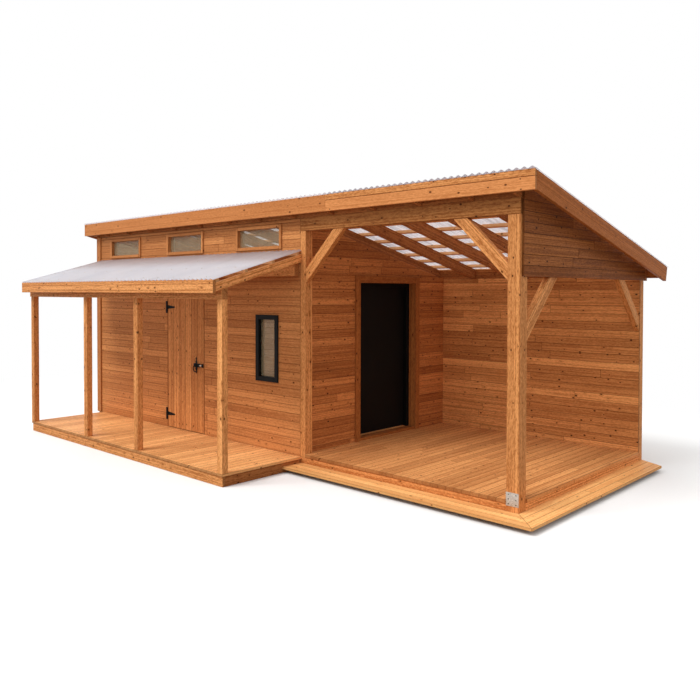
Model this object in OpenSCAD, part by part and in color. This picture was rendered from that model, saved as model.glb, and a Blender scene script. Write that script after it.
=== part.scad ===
// Garden office shed: a cedar cabin with a lean-to porch and a covered patio under one falling roof.
// Millimetres. X runs along the front, Y from front to back, Z up from the ground.

/* [Plan] */
// Length of the cabin, from its left face to the patio face of the dividing wall
cabin_len = 4758; // [4000:1:5600]
// Length of the patio, from the dividing wall to the outer face of its posts
patio_len = 2812; // [2400:1:3600]
// Depth of the building, from the front wall's face to the back wall's face
depth = 2915; // [2700:1:3300]
// Thickness of the walls
wall_t = 115; // [100:1:140]

/* [Base] */
// Height of the floor frame, on which the walls stand
frame_h = 140; // [120:1:180]
// Thickness of rims and joists
joist_t = 38; // [30:1:50]
// Spacing of the floor joists
joist_pitch = 600; // [400:10:800]
// Thickness of the floor boards
floor_t = 38; // [25:1:45]
// Reach of the floor boards past the frame below them
nosing = 12; // [6:1:20]
// Width of the low step along the patio
step_w = 290; // [200:5:400]
// Height of the low step
step_h = 70; // [50:1:100]
// Thickness of the boards of the step and the porch deck
deck_t = 28; // [20:1:35]
// Length that the angled rear cut takes off the step
step_cut = 165; // [0:5:250]

/* [Roof] */
// Fall of the roof, in degrees
roof_pitch = 13.4; // [11:0.1:14]
// Height of the front beam's underside over the patio floor
headroom = 2595; // [2500:5:2800]
// Height of the front beam at its face
beam_h = 155; // [120:1:200]
// Thickness of the front beam and the side beam
beam_t = 76; // [60:1:90]
// Depth of the rafters
rafter_h = 140; // [110:1:180]
// Thickness of the rafters
rafter_t = 38; // [30:1:50]
// Spacing of the rafters, set out from the dividing wall
rafter_pitch = 610; // [450:10:800]
// Depth of the purlins
purlin_h = 38; // [30:1:45]
// Width of the purlins
purlin_w = 44; // [36:1:70]
// Spacing of the purlins
purlin_pitch = 324; // [250:1:400]
// Reach of the roof past the front wall
front_reach = 127; // [100:1:200]
// Reach of the roof past the back wall
back_reach = 185; // [150:1:250]
// Reach of the roof past each end
side_reach = 209; // [150:1:260]
// Height of the front fascia board
fascia_h = 184; // [150:1:220]
// Height of the rake boards, square to their slope
rake_h = 172; // [150:1:200]
// Height of the back fascia board
back_fascia_h = 140; // [110:1:160]
// Thickness of the fascia boards
fascia_t = 38; // [25:1:45]

/* [Roof sheet] */
// Distance from crest to crest of the corrugated sheet
wave_pitch = 76; // [60:1:100]
// Height of a crest over a trough
wave_h = 18; // [12:1:24]
// Thickness of the sheet
sheet_t = 2; // [1.5:0.1:4]
// Reach of the sheet past the boards below it
sheet_lip = 12; // [5:1:30]

/* [Posts] */
// Width of the patio posts
post_w = 130; // [110:1:150]
// Width of the post at the cabin's front corner
corner_post_w = 86; // [60:1:110]
// How far that post stands out from the dividing wall
corner_proud = 39; // [25:1:55]
// Height that the roof leaves of the side beam at the back wall
side_beam_end = 46; // [30:1:80]
// Height of the side beam
side_beam_h = 89; // [70:1:140]
// Reach of the knee braces along post and beam
brace_leg = 600; // [450:5:700]
// Width of the knee braces
brace_w = 115; // [80:1:130]
// Thickness of the knee braces
brace_t = 64; // [40:1:75]
// Thickness of the boards that close the gable
gable_t = 20; // [15:1:30]
// Distance of the gable boards behind the front post's face
gable_back = 30; // [10:1:60]
// Distance of the gable boards' top below the rafters' top
gable_drop = 22; // [5:1:60]
// Thickness of the wall boards that cover the rear post
wall_board_t = 20; // [15:1:25]
// Height of the metal plate at the front post's foot
plate_h = 125; // [90:1:150]
// Thickness of that plate
plate_t = 3; // [2:0.5:6]
// Height of that plate over the step
plate_lift = 53; // [0:1:90]

/* [Porch] */
// Distance of the porch from the cabin's left face
porch_inset = 135; // [110:1:160]
// Reach of the porch past the near side of the post at the cabin's front corner
porch_lap = 20; // [10:1:40]
// Depth of the porch deck
porch_d = 1148; // [1000:1:1400]
// Height of the porch deck over the ground
porch_h = 140; // [120:1:140]
// Width of the porch posts along the front
porch_post_w = 88; // [70:1:110]
// Depth of the porch posts
porch_post_d = 76; // [60:1:100]
// Gap between the plank door and the posts beside it, along the front
porch_post_gap = 150; // [100:1:300]
// Height of the porch beam's underside over the deck
porch_headroom = 1847; // [1830:1:1860]
// Height of the porch beam at its face
porch_beam_h = 105; // [90:1:120]
// Fall of the porch roof, in degrees
porch_pitch = 15.65; // [14.5:0.05:16]
// Reach of the porch roof past its posts, to the front
porch_reach = 119; // [80:1:160]
// Gap between the porch roof and the corner board beside it
porch_roof_gap = 5; // [3:1:20]
// Depth of the porch rafters
porch_rafter_h = 89; // [75:1:110]
// Number of porch rafters
porch_rafters_n = 6; // [4:1:8]
// Number of porch purlins
porch_purlins_n = 4; // [3:1:5]
// Height of the porch fascia
porch_fascia_h = 140; // [110:1:160]
// Height of the ledger that carries the porch rafters on the wall
ledger_h = 140; // [100:1:150]
// Thickness of that ledger
ledger_t = 79; // [38:1:90]

/* [Plank door] */
// Distance of the plank door's middle from the cabin's left face
door_mid = 2402; // [2250:1:2500]
// Width of the plank door
door_w = 859; // [760:1:900]
// Height of the plank door
door_h = 1950; // [1900:1:1980]
// Thickness of its boards
door_board_t = 22; // [18:1:26]
// Width of the ledges across its back
ledge_w = 140; // [100:1:180]
// Gap round the door
door_gap = 8; // [6:1:12]
// Height of the lower hinge over the porch deck
hinge_low = 191; // [150:1:300]
// Height of the upper hinge over the porch deck
hinge_high = 1708; // [1500:1:1760]
// Height of the hinge plates on the wall
hinge_h = 170; // [120:1:200]
// Length of the hinge straps
strap_len = 180; // [140:1:260]
// Thickness of hinge plates and straps
strap_t = 4; // [3:0.5:6]
// Radius of the hinge barrels
barrel_r = 7; // [6:0.5:9]
// Height of the ring latch over the porch deck
latch_z = 926; // [800:1:1100]

/* [Black door] */
// Distance of the doorway's near side from the front wall's face
way_y = 987; // [900:1:1100]
// Width of the doorway inside its cedar lining
way_w = 1133; // [1000:1:1200]
// Height of the doorway over the patio floor
way_h = 2006; // [1950:1:2030]
// Thickness of the cedar lining
lining_t = 20; // [15:1:30]
// Height of the cedar sill over the patio floor
sill_h = 35; // [20:1:50]
// Width of the casing boards
casing_w = 90; // [70:1:100]
// Thickness of the casing boards
casing_t = 20; // [15:1:30]
// Width of the black frame's jambs
jamb_w = 40; // [30:1:50]
// Depth of the black frame
jamb_d = 100; // [80:1:120]
// Distance of the black frame behind the patio face of the wall
jamb_back = 95; // [70:1:105]
// Thickness of the black door
leaf_t = 45; // [38:1:50]
// Gap round the black door
leaf_gap = 8; // [7:0.5:10]

/* [Windows] */
// Gap between the tall window and the post at the cabin's front corner
window_gap = 380; // [250:1:500]
// Width of the tall window's frame
window_w = 409; // [350:1:450]
// Height of the tall window's frame
window_h = 816; // [700:1:900]
// Height of the tall window's frame over the porch deck
window_z = 830; // [700:1:900]
// Width of the tall window's frame bars
window_bar = 58; // [45:1:70]
// Width of a high window's frame
high_w = 866; // [700:1:1000]
// Height of a high window's frame
high_h = 300; // [240:1:310]
// Number of high windows
high_n = 3; // [2:1:4]
// Gap between the left end of the front wall and the first high window
high_gap = 404; // [250:1:500]
// Gap between the last high window and the post at the cabin's front corner
high_gap_end = 317; // [200:1:450]
// Height of the high windows over the porch deck
high_z = 2440; // [2435:1:2450]
// Width of a high window's frame bars
high_bar = 42; // [30:1:55]
// How far the window frames stand out from the wall
frame_out = 18; // [10:1:25]
// Overlap of the window frames on the wall
frame_lap = 20; // [12:1:25]
// Depth of the window frames inside the wall
frame_in = 60; // [40:1:90]
// Thickness of the glass
glass_t = 6; // [4:1:10]

/* [Trim] */
// Width of the corner boards
trim_w = 94; // [60:1:100]
// Thickness of the corner boards
trim_t = 20; // [15:1:25]

/* [Hidden] */

cedar = "peru";
dark_cedar = "sienna";
black = "#202022";
steel = "silver";
clear_sheet = "whitesmoke";
window_glass = "lightsteelblue";
barrel_fn = 48;
wave_steps = 6;

// Whole length and depth, from which the middle of the plan is the origin
span_x = side_reach + cabin_len + patio_len + max(side_reach + sheet_lip, step_w) + sheet_lip;
sheet_h = wave_h + sheet_t;
porch_lean = sheet_h * sin(porch_pitch);
roof_lean = sheet_h * sin(roof_pitch);
span_y = porch_lean + porch_reach + porch_d + depth + back_reach + sheet_lip + roof_lean;
x_left = -span_x / 2 + side_reach + sheet_lip;
x_div = x_left + cabin_len;
x_div_in = x_div - wall_t;
x_right = x_div + patio_len;
x_corner = x_div + corner_proud - corner_post_w;
y_front = -span_y / 2 + porch_lean + porch_reach + porch_d;
y_back = y_front + depth;
y_back_in = y_back - wall_t;
y_rear_post = y_back_in + wall_board_t;
y_porch = y_front - porch_d;
x_porch = x_left + porch_inset;
x_porch_roof = x_left + trim_w + porch_roof_gap;
x_porch_end = x_corner + porch_lap;
porch_len = x_porch_end - x_porch;
porch_roof_len = x_porch_end - x_porch_roof;

// Heights
floor_z = frame_h + floor_t;
beam_z = floor_z + headroom;
under_front = beam_z + beam_h;
roof_fall = tan(roof_pitch);
roof_cos = cos(roof_pitch);
roof_sin = sin(roof_pitch);
porch_fall = tan(porch_pitch);
porch_cos = cos(porch_pitch);
porch_sin = sin(porch_pitch);
porch_beam_z = porch_h + porch_headroom;

// Clearance where sloped pieces lie on each other, and round the black doorway's lining
fit_gap = 0.2;

// Height of the rafters' underside, the rafters' top and the purlins' top over a point of the plan
function under(y) = under_front - (y - y_front) * roof_fall;
function rafter_top(y) = under(y) + rafter_h / roof_cos;
function roof_top(y) = rafter_top(y) + purlin_h / roof_cos;
function porch_under(y) = porch_beam_z + porch_beam_h + (y - y_porch) * porch_fall;
function porch_rafter_top(y) = porch_under(y) + porch_rafter_h / porch_cos;
function porch_top(y) = porch_rafter_top(y) + purlin_h / porch_cos;

// Height of what carries the rafters
function seat(y) = under(y) - fit_gap;
function porch_seat(y) = porch_under(y) - fit_gap;
side_beam_z = seat(y_back_in) - side_beam_end;

// Ends of the roof
y_eave = y_front - front_reach;
y_eave_in = y_eave + fascia_t;
y_end = y_back + back_reach;
y_back_fascia = y_end - rake_h * roof_sin - fascia_t;
x_rake_left = x_left - side_reach;
x_rake_right = x_right + side_reach;
y_porch_eave = y_porch - porch_reach;
y_porch_eave_in = y_porch_eave + fascia_t;
y_ledger = y_front - ledger_t;

// Rafters: one at each end, the rest set out both ways from the dividing wall
rafter_min_gap = 60;
rafters_left = floor((x_div_in - x_left - 2 * rafter_t - rafter_min_gap) / rafter_pitch);
rafters_right = floor((x_right - rafter_t - rafter_min_gap - x_div_in) / rafter_pitch);
rafter_x = concat(
    [x_left],
    [for (i = [-rafters_left:rafters_right]) x_div_in - rafter_t + i * rafter_pitch],
    [x_right - rafter_t]
);

// Purlins: set out from the front fascia, with one more along the back fascia
purlin_first = y_eave_in + purlin_h * roof_sin;
purlin_last = y_back_fascia - purlin_w * roof_cos;
purlin_count = floor((purlin_last - purlin_w - purlin_first) / (purlin_pitch * roof_cos));
purlin_y = concat([for (i = [0:purlin_count]) purlin_first + i * purlin_pitch * roof_cos], [purlin_last]);

// Porch rafters and purlins
porch_rafter_step = (porch_len - rafter_t) / (porch_rafters_n - 1);
porch_purlin_first = y_porch_eave_in;
porch_purlin_last = y_front - (purlin_w + purlin_h) * porch_cos;
porch_purlin_step = (porch_purlin_last - porch_purlin_first) / (porch_purlins_n - 1);

// Plank door and its doorway
door_x = x_left + door_mid - door_w / 2;
door_x_end = door_x + door_w;
door_z = porch_h + door_gap;
way_x = door_x - door_gap;
way_x_end = door_x_end + door_gap;
way_top = door_z + door_h + door_gap;
door_t = 2 * door_board_t;
door_axis_x = door_x - door_gap / 2;
door_axis_y = y_front - barrel_r;
barrel_gap = 0.5;
ledge_end_gap = 40;
ledge_zs = [200, 880, 1560];
hinge_zs = [porch_h + hinge_low, porch_h + hinge_high];
hinge_plate_w = 34;
latch_w = 34;
latch_h = 232;
latch_back = 174;
latch_x = door_x_end - latch_back;
latch_case_h = 48;
latch_case_t = 14;
latch_case_left = 46;
latch_case_right = 94;
latch_bolt = 14;
latch_guide_w = 30;
latch_guide_end = 11;
latch_spear = 60;
latch_neck = 5;
boss_r = 12;
boss_h = 14;
ring_r = 44;
ring_wire = 6;

// Black door and its doorway
way_y0 = y_front + way_y;
way_y1 = way_y0 + way_w;
lintel_z = floor_z + way_h;
sill_top = floor_z + sill_h;
jamb_x1 = x_div - jamb_back;
jamb_x0 = jamb_x1 - jamb_d;
leaf_y0 = way_y0 + jamb_w + leaf_gap;
leaf_y1 = way_y1 - jamb_w - leaf_gap;
leaf_z0 = sill_top + leaf_gap;
leaf_z1 = lintel_z - jamb_w - leaf_gap;
leaf_axis_x = jamb_x0 - barrel_r;
leaf_axis_y = leaf_y1 + leaf_gap / 2;
stop_w = 14;
leaf_hinge_h = 100;
leaf_hinge_w = 28;
leaf_hinge_t = 3;
leaf_hinge_margin = 220;
leaf_hinge_zs = [
    leaf_z0 + leaf_hinge_margin,
    (leaf_z0 + leaf_z1) / 2,
    leaf_z1 - leaf_hinge_margin
];

// Knee braces, in the middle of the beams' thickness
brace_y = y_front + (beam_t - brace_t) / 2;
brace_x = x_right - (beam_t + brace_t) / 2;

// Windows
window_x = x_corner - window_gap - window_w;
window_zb = porch_h + window_z;
high_pitch = (x_corner - x_left - high_gap - high_gap_end - high_w) / (high_n - 1);
high_xs = [for (i = [0:high_n - 1]) x_left + high_gap + i * high_pitch];
high_zb = porch_h + high_z;

// A box from corner to corner
module block(x0, x1, y0, y1, z0, z1)
    translate([x0, y0, z0]) cube([x1 - x0, y1 - y0, z1 - z0]);

// A profile of Y and Z, drawn out along X
module along_x(x0, x1, points)
    translate([x0, 0, 0]) rotate([90, 0, 90]) linear_extrude(x1 - x0) polygon(points);

// A profile of X and Z, drawn out along Y
module along_y(y0, y1, points)
    translate([0, y1, 0]) rotate([90, 0, 0]) linear_extrude(y1 - y0) polygon(points);

// A profile of X and Y, drawn out along Z
module along_z(z0, z1, points)
    translate([0, 0, z0]) linear_extrude(z1 - z0) polygon(points);

// A wall from front to back whose top follows the rafters
module sloped_wall(x0, x1, y0, y1, z0)
    along_x(x0, x1, [[y0, z0], [y1, z0], [y1, seat(y1)], [y0, seat(y0)]]);

// A corrugated sheet that starts at the origin and runs along +Y
module corrugated(width, run) {
    waves = floor(width / wave_pitch);
    step = width / (waves * wave_steps);
    function wave(i) = wave_h / 2 * (1 - cos(360 * i / wave_steps));
    count = waves * wave_steps;
    lower = [for (i = [0:count]) [i * step, wave(i)]];
    upper = [for (i = [count:-1:0]) [i * step, wave(i) + sheet_t]];
    along_y(0, run, concat(lower, upper));
}

// A window frame: a flange on the wall and a sleeve in its opening, round a clear light
module window_frame(x, z, w, h, bar) {
    difference() {
        union() {
            block(x, x + w, y_front - frame_out, y_front, z, z + h);
            block(x + frame_lap, x + w - frame_lap, y_front, y_front + frame_in,
                  z + frame_lap, z + h - frame_lap);
        }
        block(x + bar, x + w - bar, y_front - 2 * frame_out, y_front + 2 * frame_in,
              z + bar, z + h - bar);
    }
}

// The pane that fills a window frame's light
module window_pane(x, z, w, h, bar) {
    y = y_front + frame_in / 2;
    block(x + bar, x + w - bar, y - glass_t / 2, y + glass_t / 2, z + bar, z + h - bar);
}

// The hole in the wall behind a window frame's flange
module window_hole(x, z, w, h)
    block(x + frame_lap, x + w - frame_lap, y_front - frame_out, y_front + 2 * wall_t,
          z + frame_lap, z + h - frame_lap);

// A knee brace in the angle between a post and a beam, as a profile
function brace_points(corner, height, way) =
    let (slant = brace_w * sqrt(2))
    [
        [corner, height - brace_leg],
        [corner, height - brace_leg + slant],
        [corner + way * (brace_leg - slant), height],
        [corner + way * brace_leg, height]
    ];

// Fixed or moving knuckles of a hinge of height h about its middle
module knuckles(x, y, z, h, fixed) {
    third = h / 3;
    for (part = fixed ? [-1, 1] : [0])
        translate([x, y, z + (part - 0.5) * third + barrel_gap / 2])
            cylinder(r = barrel_r, h = third - barrel_gap, $fn = barrel_fn);
}

// Floor frame and floors
module floor_rims() color(dark_cedar) {
    block(x_left, x_right - post_w, y_front, y_front + joist_t, 0, frame_h);
    block(x_left, x_right - post_w, y_back - joist_t, y_back, 0, frame_h);
    block(x_right - joist_t, x_right, y_front + post_w, y_rear_post, 0, frame_h);
}

// Joists of the cabin and of the patio, with one of each under the dividing wall
module floor_joists() color(dark_cedar) {
    runs = [[x_left, x_div_in], [x_div - joist_t, x_right - post_w - joist_t]];
    for (run = runs) {
        count = ceil((run[1] - run[0]) / joist_pitch);
        for (i = [0:count]) {
            x = run[0] + i * (run[1] - run[0]) / count;
            block(x, x + joist_t, y_front + joist_t, y_back - joist_t, 0, frame_h);
        }
    }
}

module cabin_floor() color(cedar) {
    room = [
        [x_left + wall_t, y_front + wall_t], [way_x, y_front + wall_t],
        [way_x, y_front + door_t + door_gap], [way_x_end, y_front + door_t + door_gap],
        [way_x_end, y_front + wall_t], [x_div_in, y_front + wall_t],
        [x_div_in, y_back_in], [x_left + wall_t, y_back_in]
    ];
    along_z(frame_h, floor_z, room);
}

module patio_floor() color(cedar) {
    boards = [
        [x_corner + corner_post_w, y_front - nosing], [x_right - post_w, y_front - nosing],
        [x_right - post_w, y_front + post_w], [x_right + nosing, y_front + post_w],
        [x_right + nosing, y_back_in], [x_div, y_back_in],
        [x_div, y_front + wall_t], [x_corner + corner_post_w, y_front + wall_t]
    ];
    along_z(frame_h, floor_z, boards);
}

// The step: two runs that meet in a mitre, each a tread over a set-back base
module step_front() color(cedar) {
    x0 = x_porch_end - nosing;
    tread = [
        [x0, y_front], [x_right, y_front],
        [x_right + step_w, y_front - step_w], [x0, y_front - step_w]
    ];
    base = [
        [x0, y_front], [x_right, y_front],
        [x_right + step_w - nosing, y_front - step_w + nosing], [x0, y_front - step_w + nosing]
    ];
    along_z(step_h - deck_t, step_h, tread);
    along_z(0, step_h - deck_t, base);
}

module step_side() color(cedar) {
    tread = [
        [x_right, y_front], [x_right + step_w, y_front - step_w],
        [x_right + step_w, y_back - step_cut], [x_right, y_back]
    ];
    base = [
        [x_right, y_front], [x_right + step_w - nosing, y_front - step_w + nosing],
        [x_right + step_w - nosing, y_back - step_cut], [x_right, y_back - nosing]
    ];
    along_z(step_h - deck_t, step_h, tread);
    along_z(0, step_h - deck_t, base);
}

// Porch floor: two rims with joists between them, under a deck
module porch_rims() color(dark_cedar)
    for (y = [y_porch + nosing, y_front - joist_t])
        block(x_porch + nosing, x_porch_end - nosing, y, y + joist_t, 0, porch_h - deck_t);

module porch_joists() color(dark_cedar) {
    first = x_porch + nosing;
    last = x_porch_end - nosing - joist_t;
    count = ceil((last - first) / joist_pitch);
    for (i = [0:count]) {
        x = first + i * (last - first) / count;
        block(x, x + joist_t, y_porch + nosing + joist_t, y_front - joist_t, 0, porch_h - deck_t);
    }
}

module porch_deck() color(cedar)
    block(x_porch, x_porch_end, y_porch, y_front, porch_h - deck_t, porch_h);

// Walls
module front_wall_left() color(cedar)
    block(x_left, way_x, y_front, y_front + wall_t, frame_h, way_top);

module front_wall_right() color(cedar)
    difference() {
        block(way_x_end, x_corner, y_front, y_front + wall_t, frame_h, way_top);
        window_hole(window_x, window_zb, window_w, window_h);
    }

module front_wall_top() color(cedar)
    difference() {
        sloped_wall(x_left, x_corner, y_front, y_front + wall_t, way_top);
        for (x = high_xs) window_hole(x, high_zb, high_w, high_h);
    }

module left_wall() color(cedar)
    sloped_wall(x_left, x_left + wall_t, y_front + wall_t, y_back_in, frame_h);

// The back wall's inner boards run on over the rear post
module back_wall() color(cedar) {
    sloped_wall(x_left, x_right - post_w, y_back_in, y_back, frame_h);
    sloped_wall(x_left, x_right, y_back_in, y_rear_post, frame_h);
}

module side_wall_front() color(cedar)
    sloped_wall(x_div_in, x_div, y_front + wall_t, way_y0 - lining_t - fit_gap, frame_h);

module side_wall_rear() color(cedar)
    sloped_wall(x_div_in, x_div, way_y1 + lining_t + fit_gap, y_back_in, frame_h);

module side_wall_head() color(cedar)
    sloped_wall(x_div_in, x_div, way_y0 - lining_t, way_y1 + lining_t, lintel_z + lining_t + fit_gap);

module corner_boards() color(dark_cedar)
    for (end = [[y_front, -1], [y_back, 1]]) {
        y = end[0];
        out = y + end[1] * trim_t;
        inner = y - end[1] * trim_w;
        low = min(y, out);
        high = max(y, out);
        along_x(x_left - trim_t, x_left + trim_w,
                [[low, frame_h], [high, frame_h], [high, under(high)], [low, under(high)]]);
        along_x(x_left - trim_t, x_left,
                [[min(y, inner), frame_h], [max(y, inner), frame_h],
                 [max(y, inner), under(max(y, inner))], [min(y, inner), under(max(y, inner))]]);
    }

// Plank door: upright boards on three ledges, hung on strap hinges
module plank_door() color(cedar) {
    block(door_x, door_x_end, y_front, y_front + door_board_t, door_z, door_z + door_h);
    for (z = ledge_zs)
        block(door_x + ledge_end_gap, door_x_end - ledge_end_gap,
              y_front + door_board_t, y_front + door_t, door_z + z, door_z + z + ledge_w);
}

module plank_hinge_plates() color(black)
    for (z = hinge_zs) {
        plate_x = door_axis_x - barrel_r - barrel_gap;
        block(plate_x - hinge_plate_w, plate_x, y_front - strap_t, y_front, z - hinge_h / 2, z + hinge_h / 2);
        for (part = [-1, 1])
            block(plate_x, door_axis_x - door_gap / 2, y_front - barrel_r, y_front,
                  z + (part - 0.5) * hinge_h / 3 + barrel_gap, z + (part + 0.5) * hinge_h / 3 - barrel_gap);
        knuckles(door_axis_x, door_axis_y, z, hinge_h, true);
    }

module plank_hinge_straps() color(black)
    for (z = hinge_zs) {
        root = hinge_h / 6 - barrel_gap;
        tip = root / 3;
        along_y(y_front - strap_t, y_front, [
            [door_x, z - root], [door_x + strap_len - tip, z - tip], [door_x + strap_len, z],
            [door_x + strap_len - tip, z + tip], [door_x, z + root]
        ]);
        block(door_axis_x + door_gap / 2, door_axis_x + barrel_r, y_front - barrel_r, y_front,
              z - root, z + root);
        knuckles(door_axis_x, door_axis_y, z, hinge_h, false);
    }

// Ring latch: a plate with spear ends, a case with a bolt in its guide, and a hanging ring
module ring_latch() color(black) {
    z = porch_h + latch_z;
    half = latch_h / 2;
    body = half - latch_spear;
    neck = half - 0.75 * latch_spear;
    barb = half - 0.45 * latch_spear;
    right = [
        [latch_w / 2, -barb], [latch_neck, -neck], [latch_w / 2, -body],
        [latch_w / 2, body], [latch_neck, neck], [latch_w / 2, barb]
    ];
    left = [for (i = [len(right) - 1:-1:0]) [-right[i][0], right[i][1]]];
    case_end = latch_x + latch_case_right;
    guide_x = door_x_end - latch_guide_end - latch_guide_w;
    translate([latch_x, 0, z])
        along_y(y_front - strap_t, y_front, concat(right, [[0, half]], left, [[0, -half]]));
    block(latch_x - latch_case_left, case_end, y_front - latch_case_t, y_front,
          z - latch_case_h / 2, z + latch_case_h / 2);
    block(case_end, guide_x, y_front - latch_case_t, y_front, z - latch_bolt / 2, z + latch_bolt / 2);
    block(guide_x, guide_x + latch_guide_w, y_front - latch_case_t, y_front,
          z - latch_case_h / 2, z + latch_case_h / 2);
    translate([latch_x, y_front - latch_case_t, z])
        rotate([90, 0, 0]) cylinder(r = boss_r, h = boss_h, $fn = barrel_fn);
    translate([latch_x, y_front - latch_case_t - boss_h / 2, z - ring_r])
        rotate([90, 0, 0]) rotate_extrude($fn = barrel_fn)
            translate([ring_r, 0]) circle(r = ring_wire, $fn = barrel_fn / 2);
}

// Black door to the patio, in its frame, lining and casing
module black_door() color(black)
    block(jamb_x0, jamb_x0 + leaf_t, leaf_y0, leaf_y1, leaf_z0, leaf_z1);

module black_door_frame() color(black) {
    stop_x = jamb_x0 + leaf_t + leaf_gap;
    for (side = [[way_y0, 1], [way_y1, -1]]) {
        y = side[0] + side[1] * jamb_w;
        stop = y + side[1] * stop_w;
        block(jamb_x0, jamb_x1, min(side[0], y), max(side[0], y), sill_top, lintel_z);
        block(stop_x, jamb_x1, min(y, stop), max(y, stop), sill_top, lintel_z - jamb_w);
    }
    block(jamb_x0, jamb_x1, way_y0 + jamb_w, way_y1 - jamb_w, lintel_z - jamb_w, lintel_z);
}

module black_door_lining() color(cedar)
    difference() {
        block(x_div_in, x_div, way_y0 - lining_t, way_y1 + lining_t, frame_h, lintel_z + lining_t);
        block(x_div_in - wall_t, x_div + wall_t, way_y0, way_y1, sill_top, lintel_z);
    }

module black_door_casing() color(cedar)
    along_x(x_div, x_div + casing_t, [
        [way_y0 - casing_w, floor_z], [way_y0, floor_z], [way_y0, lintel_z], [way_y1, lintel_z],
        [way_y1, floor_z], [way_y1 + casing_w, floor_z],
        [way_y1 + casing_w, lintel_z + casing_w], [way_y0 - casing_w, lintel_z + casing_w]
    ]);

module black_hinge_plates() color(steel)
    for (z = leaf_hinge_zs) {
        plate_y = leaf_axis_y + barrel_r + barrel_gap;
        block(jamb_x0 - leaf_hinge_t, jamb_x0, plate_y, plate_y + leaf_hinge_w,
              z - leaf_hinge_h / 2, z + leaf_hinge_h / 2);
        for (part = [-1, 1])
            block(jamb_x0 - barrel_r, jamb_x0, leaf_axis_y + leaf_gap / 2, plate_y,
                  z + (part - 0.5) * leaf_hinge_h / 3 + barrel_gap,
                  z + (part + 0.5) * leaf_hinge_h / 3 - barrel_gap);
        knuckles(leaf_axis_x, leaf_axis_y, z, leaf_hinge_h, true);
    }

module black_hinge_leaves() color(steel)
    for (z = leaf_hinge_zs) {
        root = leaf_hinge_h / 6 - barrel_gap;
        block(jamb_x0 - leaf_hinge_t, jamb_x0, leaf_axis_y - barrel_r - leaf_hinge_w,
              leaf_axis_y - leaf_gap / 2, z - root, z + root);
        block(jamb_x0 - barrel_r, jamb_x0, leaf_axis_y - barrel_r, leaf_axis_y - leaf_gap / 2,
              z - root, z + root);
        knuckles(leaf_axis_x, leaf_axis_y, z, leaf_hinge_h, false);
    }

// Windows
module tall_window_frame() color(black)
    window_frame(window_x, window_zb, window_w, window_h, window_bar);

module tall_window_glass() color(window_glass)
    window_pane(window_x, window_zb, window_w, window_h, window_bar);

module high_window_frames() color(dark_cedar)
    for (x = high_xs) window_frame(x, high_zb, high_w, high_h, high_bar);

module high_window_glass() color(window_glass)
    for (x = high_xs) window_pane(x, high_zb, high_w, high_h, high_bar);

// Posts, notched behind the front beam
module notched_post(x0, x1, deep, z0) {
    y_notch = y_front + beam_t;
    y1 = y_front + deep;
    along_x(x0, x1, [
        [y_front, z0], [y1, z0], [y1, seat(y1)],
        [y_notch, seat(y_notch)], [y_notch, beam_z], [y_front, beam_z]
    ]);
}

module corner_post() color(cedar)
    notched_post(x_corner, x_corner + corner_post_w, wall_t, frame_h);

module front_right_post() color(cedar)
    notched_post(x_right - post_w, x_right, post_w, 0);

module rear_right_post() color(cedar)
    sloped_wall(x_right - post_w, x_right, y_rear_post, y_back, 0);

module post_plate() color(steel)
    block(x_right - post_w, x_right, y_front - plate_t, y_front,
          step_h + plate_lift, step_h + plate_lift + plate_h);

// Beams, gable and braces
module front_beam() color(cedar)
    along_x(x_corner, x_right, [
        [y_front, beam_z], [y_front + beam_t, beam_z],
        [y_front + beam_t, seat(y_front + beam_t)], [y_front, seat(y_front)]
    ]);

module side_beam() color(cedar) {
    y0 = y_front + post_w;
    y1 = y_back_in;
    top = side_beam_z + side_beam_h;
    y_meet = y_front + (seat(y_front) - top) / roof_fall;
    along_x(x_right - beam_t, x_right, [
        [y0, side_beam_z], [y1, side_beam_z], [y1, seat(y1)], [y_meet, top], [y0, top]
    ]);
}

module gable_panel() color(dark_cedar) {
    y0 = y_front + gable_back;
    along_x(x_right, x_right + gable_t, [
        [y0, side_beam_z], [y_back, side_beam_z],
        [y_back, rafter_top(y_back) - gable_drop], [y0, rafter_top(y0) - gable_drop]
    ]);
}

module knee_braces() color(cedar) {
    along_y(brace_y, brace_y + brace_t, brace_points(x_corner + corner_post_w, beam_z, 1));
    along_y(brace_y, brace_y + brace_t, brace_points(x_right - post_w, beam_z, -1));
    along_x(brace_x, brace_x + brace_t, brace_points(y_front + post_w, side_beam_z, 1));
    along_x(brace_x, brace_x + brace_t, brace_points(y_back_in, side_beam_z, -1));
}

// Roof: rafters with blocks between them over the walls, purlins across, and the corrugated sheet
module rafters() color(cedar)
    for (x = rafter_x)
        along_x(x, x + rafter_t, [
            [y_eave_in, under(y_eave_in)], [y_back_fascia, under(y_back_fascia)],
            [y_back_fascia, rafter_top(y_back_fascia)], [y_eave_in, rafter_top(y_eave_in)]
        ]);

module eave_blocks() color(dark_cedar)
    for (i = [0:len(rafter_x) - 2])
        for (y = [y_front, y_back - joist_t])
            along_x(rafter_x[i] + rafter_t, rafter_x[i + 1], [
                [y, under(y)], [y + joist_t, under(y + joist_t)],
                [y + joist_t, rafter_top(y + joist_t)], [y, rafter_top(y)]
            ]);

module purlins() color(cedar)
    for (y = purlin_y)
        translate([x_rake_left + fascia_t, y, roof_top(y)]) rotate([-roof_pitch, 0, 0])
            translate([0, 0, fit_gap - purlin_h])
                cube([x_rake_right - x_rake_left - 2 * fascia_t, purlin_w, purlin_h - fit_gap]);

module roof_sheet() color(clear_sheet) {
    y0 = y_eave - sheet_lip;
    width = x_rake_right - x_rake_left + 2 * sheet_lip;
    run = (y_end + sheet_lip - y0) / roof_cos;
    translate([x_rake_left - sheet_lip, y0, roof_top(y0)]) rotate([-roof_pitch, 0, 0])
        corrugated(width, run);
}

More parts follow.
